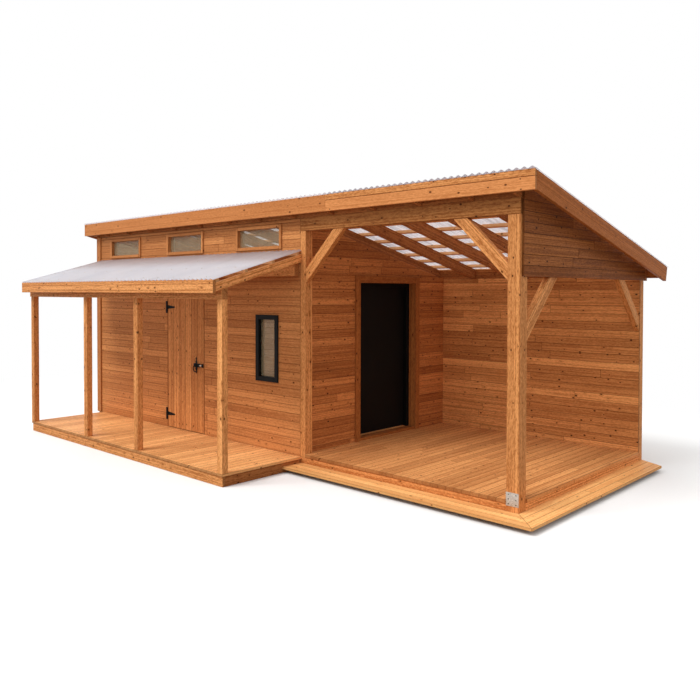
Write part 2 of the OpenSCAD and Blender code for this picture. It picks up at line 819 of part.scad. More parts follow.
module front_fascia() color(cedar) {
    bottom = roof_top(y_eave) - fascia_h;
    along_x(x_rake_left, x_rake_right, [
        [y_eave, bottom], [y_eave_in, bottom], [y_eave_in, roof_top(y_eave_in)], [y_eave, roof_top(y_eave)]
    ]);
}

module rake_board(x)
    along_x(x, x + fascia_t, [
        [y_eave_in, roof_top(y_eave_in)], [y_eave_in, roof_top(y_eave_in) - rake_h / roof_cos],
        [y_end - rake_h * roof_sin, roof_top(y_end) - rake_h * roof_cos], [y_end, roof_top(y_end)]
    ]);

module rake_boards() color(cedar) {
    rake_board(x_rake_left);
    rake_board(x_rake_right - fascia_t);
}

module back_fascia() color(dark_cedar) {
    y1 = y_back_fascia + fascia_t;
    bottom = roof_top(y1) - back_fascia_h;
    along_x(x_rake_left + fascia_t, x_rake_right - fascia_t, [
        [y_back_fascia, bottom], [y1, bottom], [y1, roof_top(y1)], [y_back_fascia, roof_top(y_back_fascia)]
    ]);
}

// Porch posts at the ends and on each side of the plank door
module porch_post(x)
    along_x(x, x + porch_post_w, [
        [y_porch, porch_h], [y_porch + porch_post_d, porch_h],
        [y_porch + porch_post_d, porch_beam_z], [y_porch, porch_beam_z]
    ]);

module porch_posts() color(cedar) {
    porch_post(x_porch);
    porch_post(door_x - porch_post_gap - porch_post_w);
    porch_post(door_x_end + porch_post_gap);
    porch_post(x_porch_end - porch_post_w);
}

module porch_beam() color(cedar) {
    y1 = y_porch + porch_post_d;
    along_x(x_porch_roof, x_porch_end, [
        [y_porch, porch_beam_z], [y1, porch_beam_z], [y1, porch_seat(y1)], [y_porch, porch_seat(y_porch)]
    ]);
}

module porch_ledger() color(cedar) {
    bottom = porch_under(y_ledger) - ledger_h;
    along_x(x_porch, x_porch_end - rafter_t, [
        [y_ledger, bottom], [y_front, bottom], [y_front, porch_seat(y_front)], [y_ledger, porch_seat(y_ledger)]
    ]);
}

module porch_rafters() color(cedar)
    for (i = [0:porch_rafters_n - 1]) {
        x = x_porch + i * porch_rafter_step;
        along_x(x, x + rafter_t, [
            [y_porch_eave_in, porch_under(y_porch_eave_in)], [y_front, porch_under(y_front)],
            [y_front, porch_rafter_top(y_front)], [y_porch_eave_in, porch_rafter_top(y_porch_eave_in)]
        ]);
    }

module porch_purlins() color(cedar)
    for (i = [0:porch_purlins_n - 1]) {
        y = porch_purlin_first + i * porch_purlin_step;
        translate([x_porch_roof, y, porch_rafter_top(y)]) rotate([porch_pitch, 0, 0])
            translate([0, purlin_h * porch_fall, fit_gap])
                cube([porch_roof_len, purlin_w, purlin_h - fit_gap]);
    }

module porch_sheet() color(clear_sheet) {
    run = (y_front - y_porch_eave) / porch_cos;
    translate([x_porch_roof, y_porch_eave, porch_top(y_porch_eave)]) rotate([porch_pitch, 0, 0])
        corrugated(porch_roof_len, run);
}

module porch_fascia() color(cedar) {
    bottom = porch_top(y_porch_eave) - porch_fascia_h;
    along_x(x_porch_roof, x_porch_end, [
        [y_porch_eave, bottom], [y_porch_eave_in, bottom],
        [y_porch_eave_in, porch_top(y_porch_eave_in)], [y_porch_eave, porch_top(y_porch_eave)]
    ]);
}

floor_rims();
floor_joists();
cabin_floor();
patio_floor();
step_front();
step_side();
porch_rims();
porch_joists();
porch_deck();
front_wall_left();
front_wall_right();
front_wall_top();
left_wall();
back_wall();
side_wall_front();
side_wall_rear();
side_wall_head();
corner_boards();
plank_door();
plank_hinge_plates();
plank_hinge_straps();
ring_latch();
black_door();
black_door_frame();
black_door_lining();
black_door_casing();
black_hinge_plates();
black_hinge_leaves();
tall_window_frame();
tall_window_glass();
high_window_frames();
high_window_glass();
corner_post();
front_right_post();
rear_right_post();
post_plate();
front_beam();
side_beam();
gable_panel();
knee_braces();
rafters();
eave_blocks();
purlins();
roof_sheet();
front_fascia();
rake_boards();
back_fascia();
porch_posts();
porch_beam();
porch_ledger();
porch_rafters();
porch_purlins();
porch_sheet();
porch_fascia();
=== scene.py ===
import math
import random

import bmesh
import bpy
from mathutils import Matrix, Vector


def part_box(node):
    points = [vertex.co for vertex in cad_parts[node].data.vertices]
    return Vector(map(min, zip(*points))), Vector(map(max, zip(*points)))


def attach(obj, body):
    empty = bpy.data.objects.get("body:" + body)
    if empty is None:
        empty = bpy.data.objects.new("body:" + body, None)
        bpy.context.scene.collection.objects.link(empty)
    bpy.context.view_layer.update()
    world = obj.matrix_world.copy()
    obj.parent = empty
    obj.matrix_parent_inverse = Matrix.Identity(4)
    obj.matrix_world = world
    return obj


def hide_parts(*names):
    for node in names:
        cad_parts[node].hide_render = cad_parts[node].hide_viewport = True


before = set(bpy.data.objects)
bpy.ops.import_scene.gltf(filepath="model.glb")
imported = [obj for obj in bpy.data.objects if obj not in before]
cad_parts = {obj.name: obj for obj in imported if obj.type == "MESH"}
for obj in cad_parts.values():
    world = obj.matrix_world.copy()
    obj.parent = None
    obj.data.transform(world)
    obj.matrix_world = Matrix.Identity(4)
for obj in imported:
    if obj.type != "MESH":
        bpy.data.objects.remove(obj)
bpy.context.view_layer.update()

# Photograph's camera, in the part's frame
FRAME_PX = 700
FOCAL_PX = 722.31
PRINCIPAL_X_PX = 345.65
PRINCIPAL_Y_PX = 306.58
CAMERA_PLACE = Vector((7.0183, -6.7302, 2.070))
CAMERA_YAW = math.radians(42.939)
CAMERA_PITCH = math.radians(-1.174)
CAMERA_ROLL = math.radians(-0.125)
SENSOR_MM = 36.0

# Boards
SIDING_PITCH = 0.098
DECK_PITCH = 0.0945
DOOR_BOARDS = 6
TREAD_BOARDS = 3
OUTER_SKIN = 0.022
INNER_SKIN = 0.018
STUD_COURSE = 0.60
BOARD_EDGE = 0.0034
TIMBER_EDGE = 0.003
PAINT_EDGE = 0.0015
JOINT_CLEAR = 0.06
SMALLEST_PIECE = 0.0004
TIMBER_SEED = 100
LINING_SEED = 40

# Shortest and longest boards between butt joints
FRONT_LENGTHS = (1.2, 3.4)
LEFT_LENGTHS = (1.0, 2.6)
BACK_LENGTHS = (0.45, 1.6)
DIVIDING_LENGTHS = (0.45, 1.7)
GABLE_LENGTHS = (0.6, 1.7)
PATIO_LENGTHS = (0.9, 2.2)
CABIN_LENGTHS = (1.2, 2.9)
PORCH_LENGTHS = (1.2, 2.4)
TREAD_LENGTHS = (1.0, 2.4)

# A board's own grain, and how squarely a face looks along it
GRAIN_SHIFT = 40
PITH_ACROSS = 0.05
PITH_THROUGH = (0.03, 0.16)
END_FACING = 0.8
SIDE_FACING = 0.1

# Wood's textures, as repeats a metre along, across and through the grain
KNOT_CELLS = (6.0, 9.0, 0.0)
STREAKS = (1.1, 34.0, 34.0)
FINE_GRAIN = (7.0, 420.0, 420.0)
FLECKS = (26.0, 90.0, 90.0)
PATCHES = (0.9, 4.0, 4.0)
RING_STRETCH = (0.10, 1.0, 1.0)
RINGS = 34.0

# Shares of those textures in the wood's colour, and its largest knot as a share of a cell
RING_SHARE = 0.34
STREAK_SHARE = 0.66
FINE_SHARE = 0.35
FLECK_SHARE = 1.3
PATCH_SHARE = 0.9
HALO_STAIN = 0.3
KNOT_STAIN = 0.9
END_STAIN = 0.45
KNOT_R = 0.10

# Corrugated sheets
WAVE_PITCH = 0.076
WAVE_H = 0.018
SHEET_T = 0.002
WAVE_POINTS = 16
WAVE_SHARP = math.radians(50)
PORCH_ANGLE = math.radians(15.65)
SCREW_EVERY = 4

# Finish of the sheets, by the distance from the front wall and from the fascia's joint
RIDGES = (30.0, 1.1, 1.0)
STREAK_START = 0.04
STREAK_FULL = 0.06
STREAK_SHADE = (0.42, 0.42, 0.44, 1.0)
# How far the painted shade and reflection of the wall reach out from the front wall
WALL_SHADE_REACH = 0.70
LIP_FADE = 0.1
LIP_START = 0.06
LIP_FULL = 0.10
DUST_AND_VEIL_SHARE = 0.26

# Front fascia
FASCIA_JOINT = 1.418
FASCIA_STRIP = 0.062
FASCIA_GAP = 0.004

# Screws
SCREW_SIDES = 10
SCREW_CROWN = 0.6
ROOF_SCREW_R = 0.007
ROOF_SCREW_H = 0.006
DECK_SCREW_R = 0.0042
DECK_SCREW_H = 0.0006
IRON_SCREW_R = 0.0055
IRON_SCREW_H = 0.002
HINGE_T = 0.004
HINGE_SCREW = 0.014
BOLT_BACK = 0.0495
BOLT_OUT = 0.012
BOLT_R = 0.0105
BOLT_HALF = 0.0190

# Places of the screws, as shares of what they hold, and rows of deck screws with their inset
BOARD_SCREWS = (0.25, 0.75)
PLATE_SCREWS_X = (0.2, 0.8)
PLATE_SCREWS_Z = (0.15, 0.5, 0.85)
HINGE_SCREWS = (-0.75, -0.25, 0.25, 0.75)
STRAP_SCREWS = (0.35, 0.6, 0.85)
PATIO_SCREW_ROWS = 5
PATIO_SCREW_INSET = 0.14
PORCH_SCREW_ROWS = 3
PORCH_SCREW_INSET = 0.05

# Joining the model's flat faces
WELD = 0.00002
MERGE = 0.0005
PLACES = 5
FLAT = math.radians(0.5)
SHARP = math.radians(20)

# Light and stage
WORLD_LIGHT = 0.84
KEY_STRENGTH = 2.0
KEY_SPREAD = math.radians(28)
KEY_FROM = Vector((-0.25, -0.72, 0.92))
WHITE = (1.0, 1.0, 1.0, 1.0)
FLOOR_BOUNCE = (0.26, 0.23, 0.20, 1.0)
FLOOR_HALF = 60.0
FLOOR_DROP = 0.001
FADE_STRETCH = (0.16, 0.24, 0.0)
FADE_START = 0.8
FADE_END = 1.6

# Axes of a point
X_AXIS = 0
Y_AXIS = 1
Z_AXIS = 2


def srgb(red, green, blue):
    """A colour given as 0 to 255 display values, in linear light with alpha."""
    def linear(value):
        share = value / 255
        return share / 12.92 if share <= 0.04045 else ((share + 0.055) / 1.055) ** 2.4
    return (linear(red), linear(green), linear(blue), 1.0)


# Places in the frame
def spots(points):
    """The separate places of points along X, Y and Z."""
    return [sorted({round(point[axis], PLACES) for point in points}) for axis in (X_AXIS, Y_AXIS, Z_AXIS)]


def levels(node):
    """The separate places of a node's corners along X, Y and Z."""
    return spots([vertex.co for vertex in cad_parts[node].data.vertices])


def points_of(faces):
    """All the corners of a solid's faces."""
    return [point for face in faces for point in face]


def drawn(outline, depth):
    """Faces of a prism drawn out from a flat outline."""
    far = [point + depth for point in outline]
    faces = [list(outline), far]
    for index, point in enumerate(outline):
        after = (index + 1) % len(outline)
        faces.append([point, outline[after], far[after], far[index]])
    return faces


left_low, left_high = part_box("front_wall_left")
right_low, right_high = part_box("front_wall_right")
divide_low, divide_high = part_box("side_wall_head")
back_low, back_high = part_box("back_wall")
rear_low, rear_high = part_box("rear_right_post")
X_LEFT = left_low.x
WAY_X = left_high.x
WAY_X_END = right_low.x
X_CORNER = right_high.x
X_DIV_IN = divide_low.x
X_DIV = divide_high.x
X_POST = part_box("front_right_post")[0].x
X_RIGHT = rear_high.x
Y_FRONT = left_low.y
Y_FRONT_IN = left_high.y
Y_BACK_IN = back_low.y
Y_BACK = back_high.y
FRAME_TOP = left_low.z
WAY_TOP = left_high.z
SEAT_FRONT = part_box("front_wall_top")[1].z
ROOF_SLOPE = (SEAT_FRONT - rear_high.z) / (rear_low.y - Y_FRONT)
ROOF_ANGLE = math.atan(ROOF_SLOPE)


def seat(y):
    """Height of what carries the rafters."""
    return SEAT_FRONT - (y - Y_FRONT) * ROOF_SLOPE


SIDE_SPAN = (Y_FRONT_IN, Y_BACK_IN)
SIDE_RISE = (FRAME_TOP, seat(Y_FRONT_IN))


def along_x(u, v, w):
    """A point of a wall that runs along X: u along it, v up and w through it."""
    return Vector((u, w, v))


def along_y(u, v, w):
    """A point of a wall that runs along Y: u along it, v up and w through it."""
    return Vector((w, u, v))


def solids(node):
    """A node's separate solids, each as a list of faces, each face as a list of corners."""
    whole = bmesh.new()
    whole.from_mesh(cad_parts[node].data)
    bmesh.ops.remove_doubles(whole, verts=whole.verts, dist=WELD)
    bmesh.ops.dissolve_limit(whole, angle_limit=FLAT, verts=whole.verts, edges=whole.edges)
    found = []
    seen = set()
    for start in whole.faces:
        if start in seen:
            continue
        seen.add(start)
        group = [start]
        for face in group:
            for edge in face.edges:
                for other in edge.link_faces:
                    if other not in seen:
                        seen.add(other)
                        group.append(other)
        found.append([[corner.co.copy() for corner in face.verts] for face in group])
    whole.free()
    return found


class Timber:
    """Boards gathered into one mesh, each with its own grain, tone, end faces and eased edges."""

    def __init__(self, seed):
        self.random = random.Random(seed)
        self.points = []
        self.faces = []
        self.grain = []
        self.tone = []
        self.end = []
        self.edge = []

    def take(self, faces, along, through, ease):
        """Adds one closed board, given by its faces, with the grain along it."""
        board = bmesh.new()
        corners = {}
        for face in faces:
            ring = []
            for point in face:
                key = tuple(round(value, PLACES) for value in point)
                if key not in corners:
                    corners[key] = board.verts.new(point)
                ring.append(corners[key])
            board.faces.new(ring)
        bmesh.ops.recalc_face_normals(board, faces=board.faces)
        sharp = [edge for edge in board.edges if edge.calc_face_angle(0.0) > SHARP]
        eased = set()
        if ease > 0:
            made = bmesh.ops.bevel(
                board, geom=sharp, offset=ease, offset_type="OFFSET", segments=1, profile=0.5,
                affect="EDGES", clamp_overlap=True,
            )
            eased = set(made["faces"])
        across = through.cross(along)
        middle = sum((vertex.co for vertex in board.verts), Vector()) / len(board.verts)
        shift = self.random.uniform(-GRAIN_SHIFT, GRAIN_SHIFT)
        pith_across = self.random.uniform(-PITH_ACROSS, PITH_ACROSS)
        pith_through = self.random.uniform(*PITH_THROUGH) * self.random.choice((-1, 1))
        tone = self.random.random()
        base = len(self.points)
        board.verts.index_update()
        for vertex in board.verts:
            place = vertex.co - middle
            self.points.append(vertex.co.copy())
            self.grain.append((
                vertex.co.dot(along) + shift,
                place.dot(across) + pith_across,
                place.dot(through) + pith_through,
            ))
            self.tone.append(tone)
        for face in board.faces:
            self.faces.append([base + vertex.index for vertex in face.verts])
            self.end.append(1.0 if abs(face.normal.dot(along)) > END_FACING else 0.0)
            self.edge.append(1.0 if face in eased else 0.0)
        board.free()

    def prism(self, outline, depth, along, ease=BOARD_EDGE):
        """Adds a board drawn out from a flat outline."""
        self.take(drawn(outline, depth), along, depth.normalized(), ease)

    def beam(self, outline, length, ease=TIMBER_EDGE):
        """Adds a timber drawn out along its grain from its end's outline."""
        along = length.normalized()
        side = (outline[-1] - outline[0]).cross(along).normalized()
        self.take(drawn(outline, length), along, side, ease)

    def block(self, low, high, along, ease=BOARD_EDGE):
        """Adds a square board from corner to corner, with the grain along an axis."""
        x0, y0, z0 = low
        x1, y1, z1 = high
        if along.z:
            outline = ((x0, y0, z0), (x1, y0, z0), (x1, y0, z1), (x0, y0, z1))
            depth = Vector((0, y1 - y0, 0))
        else:
            outline = ((x0, y0, z0), (x1, y0, z0), (x1, y1, z0), (x0, y1, z0))
            depth = Vector((0, 0, z1 - z0))
        self.prism([Vector(point) for point in outline], depth, along, ease)

    def node(self, name, ease=TIMBER_EDGE):
        """Adds the solids of a CAD node, each with the grain along its longest edge."""
        for faces in solids(name):
            longest = Vector()
            for face in faces:
                for index, point in enumerate(face):
                    side = face[index - 1] - point
                    if side.length > longest.length + WELD:
                        longest = side
            along = longest.normalized()
            through = Vector()
            largest = 0.0
            for face in faces:
                normal = face_normal(face)
                beside = abs(normal.normalized().dot(along)) < SIDE_FACING
                if beside and normal.length > largest + WELD:
                    largest = normal.length
                    through = normal.normalized()
            self.take(faces, along, through, ease)

    def build(self, name, material, slot, body, *nodes):
        """Makes the object, which rides on a body and stands for CAD nodes."""
        mesh = new_mesh(name, self.points, self.faces, material)
        grain = mesh.attributes.new("grain", "FLOAT_VECTOR", "POINT")
        grain.data.foreach_set("vector", [value for point in self.grain for value in point])
        for key, domain, values in (
            ("tone", "POINT", self.tone), ("end", "FACE", self.end), ("edge", "FACE", self.edge),
        ):
            mesh.attributes.new(key, "FLOAT", domain).data.foreach_set("value", values)
        return place_piece(name, mesh, slot, body, *nodes)


def face_normal(face):
    """Normal of a flat face, as long as twice its area."""
    total = Vector()
    for index, point in enumerate(face):
        total += face[index - 1].cross(point)
    return total


def new_mesh(name, points, faces, material):
    """A mesh with one material."""
    mesh = bpy.data.meshes.new(name)
    mesh.from_pydata(points, [], faces)
    mesh.materials.append(material)
    return mesh


def linked(name, data):
    """A new object in the scene."""
    made = bpy.data.objects.new(name, data)
    bpy.context.scene.collection.objects.link(made)
    return made


def place_piece(name, mesh, slot, body, *nodes):
    """Links a mesh as a piece of the object."""
    piece = linked(name, mesh)
    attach(piece, body)
    if nodes:
        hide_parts(*nodes)
    return piece


# Materials
class Shader:
    """The nodes of a material or a world, added one by one."""

    def __init__(self, owner):
        owner.use_nodes = True
        self.owner = owner
        self.tree = owner.node_tree
        self.tree.nodes.clear()

    def add(self, kind, inputs=None, **settings):
        """Adds a node; an input is a value or another node's output."""
        node = self.tree.nodes.new("ShaderNode" + kind)
        for key, value in settings.items():
            setattr(node, key, value)
        for key, value in (inputs or {}).items():
            if isinstance(value, bpy.types.NodeSocket):
                self.tree.links.new(value, node.inputs[key])
            else:
                node.inputs[key].default_value = value
        return node

    def place(self):
        """A point of the object, in metres."""
        return self.add("TexCoord").outputs["Object"]

    def attribute(self, name, output="Fac"):
        return self.add("Attribute", attribute_name=name).outputs[output]

    def stretch(self, vector, scale):
        return self.add("Mapping", {"Vector": vector, "Scale": scale}).outputs["Vector"]

    def noise(self, vector, scale, detail=3.0, roughness=0.55):
        return self.add("TexNoise", {
            "Vector": vector, "Scale": scale, "Detail": detail, "Roughness": roughness,
        }).outputs["Fac"]

    def math(self, operation, first, second=0.0):
        return self.add("Math", {0: first, 1: second}, operation=operation).outputs["Value"]

    def scaled(self, value, factor):
        return self.math("MULTIPLY", value, factor)

    def centred(self, value, factor):
        """A texture's value about zero, scaled."""
        return self.scaled(self.math("SUBTRACT", value, 0.5), factor)

    def between(self, value, low, high, out_low=0.0, out_high=1.0):
        return self.add("MapRange", {
            "Value": value, "From Min": low, "From Max": high, "To Min": out_low, "To Max": out_high,
        }).outputs["Result"]

    def mix(self, share, first, second, blend_type="MIX"):
        """Two colours mixed; the numbers are the node's colour sockets."""
        inputs = {0: share, 6: first, 7: second}
        return self.add("Mix", inputs, data_type="RGBA", blend_type=blend_type).outputs[2]

    def blend(self, share, first, second):
        """Two surfaces mixed."""
        return self.add("MixShader", {0: share, 1: first, 2: second}).outputs["Shader"]

    def seen(self):
        """One where the camera sees the surface, also in a reflection or through glass, and else zero."""
        rays = self.add("LightPath").outputs
        direct = self.math("MAXIMUM", rays["Is Camera Ray"], rays["Is Glossy Ray"])
        return self.math("MAXIMUM", direct, rays["Is Transmission Ray"])

    def bsdf(self, kind, inputs):
        return self.add("Bsdf" + kind, inputs).outputs["BSDF"]

    def finish(self, surface, kind="OutputMaterial"):
        self.add(kind, {"Surface": surface})
        return self.owner


def wood(name, pale, deep, dark, knots=0.6, spread=0.3, groove_dirt_and_shade=0.6):
    """Stained cedar: rings, streaks, flecks and knots along each board, with darker ends, and grooves and
    eased edges darkened partly as dirt and partly as painted shade.
    """
    shader = Shader(bpy.data.materials.new(name))
    pale = srgb(*pale)
    deep = srgb(*deep)
    dark = srgb(*dark)
    grain = shader.attribute("grain", "Vector")
    tone = shader.attribute("tone")
    end = shader.attribute("end")
    edge = shader.attribute("edge")
    parts = shader.add("SeparateXYZ", {"Vector": grain}).outputs
    girth = shader.math("ADD", parts["Y"], parts["Z"])
    unrolled = shader.add("CombineXYZ", {"X": parts["X"], "Y": girth}).outputs["Vector"]
    cells = shader.add("TexVoronoi", {
        "Vector": shader.stretch(unrolled, KNOT_CELLS), "Scale": 1.0, "Randomness": 1.0,
    }, voronoi_dimensions="2D")
    chance = shader.add("SeparateColor", {"Color": cells.outputs["Color"]}).outputs["Red"]
    distance = cells.outputs["Distance"]
    radius = shader.between(chance, 1.0 - knots, 1.0, 0.0, KNOT_R)
    reach = shader.math("DIVIDE", distance, shader.math("ADD", radius, 0.0001))
    knot = shader.between(reach, 1.15, 0.65)
    halo = shader.math("MULTIPLY", shader.between(distance, 0.30, 0.04), shader.between(radius, 0.01, 0.03))
    streak = shader.noise(shader.stretch(grain, STREAKS), 1.0, 4.0, 0.6)
    fine = shader.noise(shader.stretch(grain, FINE_GRAIN), 1.0, 2.0, 0.5)
    fleck = shader.noise(shader.stretch(grain, FLECKS), 1.0, 2.0, 0.7)
    patch = shader.noise(shader.stretch(grain, PATCHES), 1.0, 2.0, 0.5)
    bend = shader.add("CombineXYZ", {
        "Y": shader.scaled(halo, 0.004), "Z": shader.scaled(halo, 0.003),
    }).outputs["Vector"]
    straight = shader.stretch(grain, RING_STRETCH)
    bent = shader.add("VectorMath", {0: straight, 1: bend}, operation="ADD").outputs["Vector"]
    rings = shader.add("TexWave", {
        "Vector": bent, "Scale": RINGS, "Distortion": 2.6, "Detail": 2.0, "Detail Scale": 0.7,
        "Detail Roughness": 0.5,
    }, wave_type="RINGS", rings_direction="X").outputs["Fac"]
    figure = shader.math("ADD", shader.scaled(rings, RING_SHARE), shader.scaled(streak, STREAK_SHARE))
    figure = shader.math("ADD", figure, shader.centred(fine, FINE_SHARE))
    figure = shader.math("ADD", figure, shader.centred(fleck, FLECK_SHARE))
    colour = shader.mix(shader.between(figure, 0.24, 0.76), pale, deep)
    lift = shader.math("ADD", tone, shader.centred(patch, PATCH_SHARE))
    level = shader.between(lift, 0.0, 1.0, 1.0 - spread, 1.0 + 0.6 * spread)
    warm = shader.add("CombineColor", {
        "Red": shader.math("POWER", level, 0.8), "Green": level, "Blue": shader.math("POWER", level, 1.15),
    }).outputs["Color"]
    colour = shader.mix(1.0, colour, warm, "MULTIPLY")
    colour = shader.mix(shader.scaled(halo, HALO_STAIN), colour, deep)
    # Knots and end grain are stained darker; the grooves and eased edges are darkened partly as dirt and
    # partly as painted shade.
    for mask, stain in ((knot, KNOT_STAIN), (end, END_STAIN), (edge, groove_dirt_and_shade)):
        colour = shader.mix(shader.scaled(mask, stain), colour, dark)
    height = shader.math("ADD", shader.scaled(streak, 0.5), shader.scaled(fine, 0.5))
    bump = shader.add("Bump", {"Strength": 0.25, "Distance": 0.0015, "Height": height})
    surface = shader.bsdf("Principled", {
        "Base Color": colour,
        "Roughness": shader.between(streak, 0.2, 0.8, 0.35, 0.55),
        "Specular IOR Level": 0.04,
        "Normal": bump.outputs["Normal"],
    })
    return shader.finish(surface)


def painted(name, colour, worn, rough):
    """Satin paint with a faint orange peel and slight wear."""
    shader = Shader(bpy.data.materials.new(name))
    place = shader.place()
    cloud = shader.noise(place, 3.0, 4.0)
    peel = shader.noise(place, 260.0, 2.0)
    scuff = shader.between(shader.noise(place, 22.0, 5.0, 0.7), 0.56, 0.74)
    tint = shader.mix(shader.between(cloud, 0.35, 0.7, 0.0, 0.5), colour, worn)
    tint = shader.mix(shader.scaled(scuff, 0.35), tint, worn)
    bump = shader.add("Bump", {"Strength": 0.12, "Distance": 0.0006, "Height": peel})
    surface = shader.bsdf("Principled", {
        "Base Color": tint,
        "Roughness": shader.between(cloud, 0.3, 0.7, rough, rough + 0.12),
        "Specular IOR Level": 0.12,
        "Normal": bump.outputs["Normal"],
    })
    return shader.finish(surface)


def galvanised(name):
    """Zinc with a spangle of grey crystals."""
    shader = Shader(bpy.data.materials.new(name))
    place = shader.place()
    cells = shader.add("TexVoronoi", {"Vector": place, "Scale": 140.0})
    spangle = shader.add("SeparateColor", {"Color": cells.outputs["Color"]}).outputs["Red"]
    stain = shader.noise(place, 18.0, 4.0)
    tint = shader.mix(spangle, srgb(176, 173, 168), srgb(212, 208, 201))
    tint = shader.mix(shader.between(stain, 0.5, 0.75, 0.0, 0.5), tint, srgb(128, 126, 122))
    surface = shader.bsdf("Principled", {
        "Base Color": tint,
        "Metallic": 0.85,
        "Roughness": shader.between(spangle, 0.0, 1.0, 0.32, 0.52),
    })
    return shader.finish(surface)


def clear_sheet(name, dull, bright, clear, glow, streaks, lip=0.0, wall_shade=0.0):
    """Corrugated plastic sheet: partly clear, partly milky, with grey streaks and a painted shade and
    reflection of the wall next to it.
    """
    shader = Shader(bpy.data.materials.new(name))
    place = shader.place()
    cloud = shader.noise(shader.stretch(place, (1.0, 0.35, 1.0)), 2.4, 4.0)
    speck = shader.noise(place, 60.0, 3.0)
    tint = shader.mix(shader.between(cloud, 0.35, 0.7), dull, bright)
    tint = shader.mix(shader.between(speck, 0.62, 0.75, 0.0, 0.3), tint, srgb(214, 208, 206))
    ridge = shader.noise(shader.stretch(place, RIDGES), 1.0, 2.0)
    across = shader.add("SeparateXYZ", {"Vector": place}).outputs
    inside = shader.between(across["Y"], Y_FRONT - STREAK_START, Y_FRONT + STREAK_FULL)
    streak = shader.math("MULTIPLY", shader.between(ridge, 0.52, 0.66, 0.0, streaks), inside)
    tint = shader.mix(streak, tint, srgb(190, 188, 190))
    # Painted shade and reflection of the wall: grey-brown over the part of the sheet nearest the front wall.
    wall_side = shader.between(across["Y"], Y_FRONT - WALL_SHADE_REACH, Y_FRONT, 0.0, wall_shade)
    wall_shade_mask = shader.math("MULTIPLY", wall_side, shader.between(ridge, 0.3, 0.7, 0.75, 1.0))
    tint = shader.mix(wall_shade_mask, tint, srgb(166, 122, 100))
    right = shader.between(across["X"], FASCIA_JOINT - LIP_FADE, FASCIA_JOINT + LIP_FADE)
    rim = shader.between(across["Y"], Y_FRONT - LIP_START, Y_FRONT - LIP_FULL, 0.0, lip)
    milky = shader.math("MULTIPLY", right, rim)
    tint = shader.mix(milky, tint, srgb(226, 226, 232))
    gloss = shader.bsdf("Principled", {
        "Base Color": tint,
        "Roughness": shader.between(cloud, 0.3, 0.7, 0.10, 0.20),
        "Specular IOR Level": 0.6,
    })
    milk = shader.bsdf("Translucent", {"Color": tint})
    shade = shader.mix(streak, WHITE, STREAK_SHADE)
    through = shader.bsdf("Transparent", {"Color": shade})
    open_share = shader.scaled(shader.math("SUBTRACT", 1.0, milky), clear)
    return shader.finish(shader.blend(open_share, shader.blend(glow, gloss, milk), through))


def pane(name):
    """Window glass: mostly clear, with a gloss and a pale layer that is partly dust and partly a painted
    reflection of the sky.
    """
    shader = Shader(bpy.data.materials.new(name))
    dust = shader.noise(shader.place(), 9.0, 5.0)
    # The pale layer is partly dust and partly a painted reflection of the sky.
    gloss = shader.bsdf("Principled", {
        "Base Color": shader.mix(shader.between(dust, 0.4, 0.8), srgb(184, 166, 132), srgb(214, 196, 160)),
        "Roughness": shader.between(dust, 0.3, 0.8, 0.02, 0.08),
    })
    clear = shader.bsdf("Transparent", {"Color": (0.96, 0.97, 0.96, 1.0)})
    return shader.finish(shader.blend(DUST_AND_VEIL_SHARE, clear, gloss))


SIDING = wood("siding_cedar", (216, 146, 88), (182, 115, 67), (88, 47, 23), 0.5, spread=0.24, groove_dirt_and_shade=0.42)
INSIDE = wood("inside_cedar", (250, 220, 180), (226, 187, 142), (110, 70, 40), 0.4, spread=0.2)
PATIO_LINING = wood(
    "lining_cedar", (237, 164, 99), (196, 125, 72), (54, 27, 13), 0.85, spread=0.36, groove_dirt_and_shade=0.4,
)
SIDE_LINING = wood(
    "side_lining_cedar", (214, 137, 78), (172, 103, 57), (50, 25, 12), 0.8, spread=0.36, groove_dirt_and_shade=0.4,
)
GABLE = wood("gable_cedar", (174, 106, 55), (129, 73, 35), (48, 24, 11), 0.6, spread=0.22)
DECKING = wood("deck_cedar", (252, 190, 124), (224, 152, 93), (96, 50, 22), 0.4, spread=0.22)
# The patio floor's decking is a darker copy of the deck cedar: painted shade under the patio roof.
SHADED_PATIO_DECKING = wood("patio_deck_cedar_painted_shade", (228, 162, 101), (198, 128, 74), (90, 46, 20), 0.4, spread=0.22)
TREADS = wood("tread_cedar", (255, 200, 130), (238, 164, 98), (96, 50, 22), 0.4, spread=0.22)
FRAMING = wood("frame_cedar", (246, 173, 107), (182, 111, 59), (64, 31, 14), 0.6, spread=0.2, groove_dirt_and_shade=0.1)
FASCIA_LEFT = wood(
    "fascia_left_cedar", (216, 143, 86), (184, 113, 62), (72, 36, 16), 0.4, spread=0.14, groove_dirt_and_shade=0.1,
)
FASCIA = wood("fascia_cedar", (242, 165, 103), (208, 133, 77), (80, 40, 18), 0.4, spread=0.14, groove_dirt_and_shade=0.1)
RAKE = wood("rake_cedar", (192, 115, 58), (152, 86, 39), (60, 30, 14), 0.4, spread=0.16, groove_dirt_and_shade=0.1)
CASING = wood("casing_cedar", (186, 114, 60), (140, 80, 40), (54, 27, 12), 0.4, spread=0.15, groove_dirt_and_shade=0.2)
ROOF_TIMBER = wood("roof_cedar", (200, 128, 74), (150, 88, 47), (60, 30, 14), 0.4, spread=0.2, groove_dirt_and_shade=0.1)
# The purlins' wood is a paler copy of the roof cedar: painted light of the sky through the sheets.
LIT_PURLIN = wood("purlin_cedar_painted_light", (255, 206, 150), (246, 178, 120), (120, 66, 34), 0.3, spread=0.12, groove_dirt_and_shade=0.1)
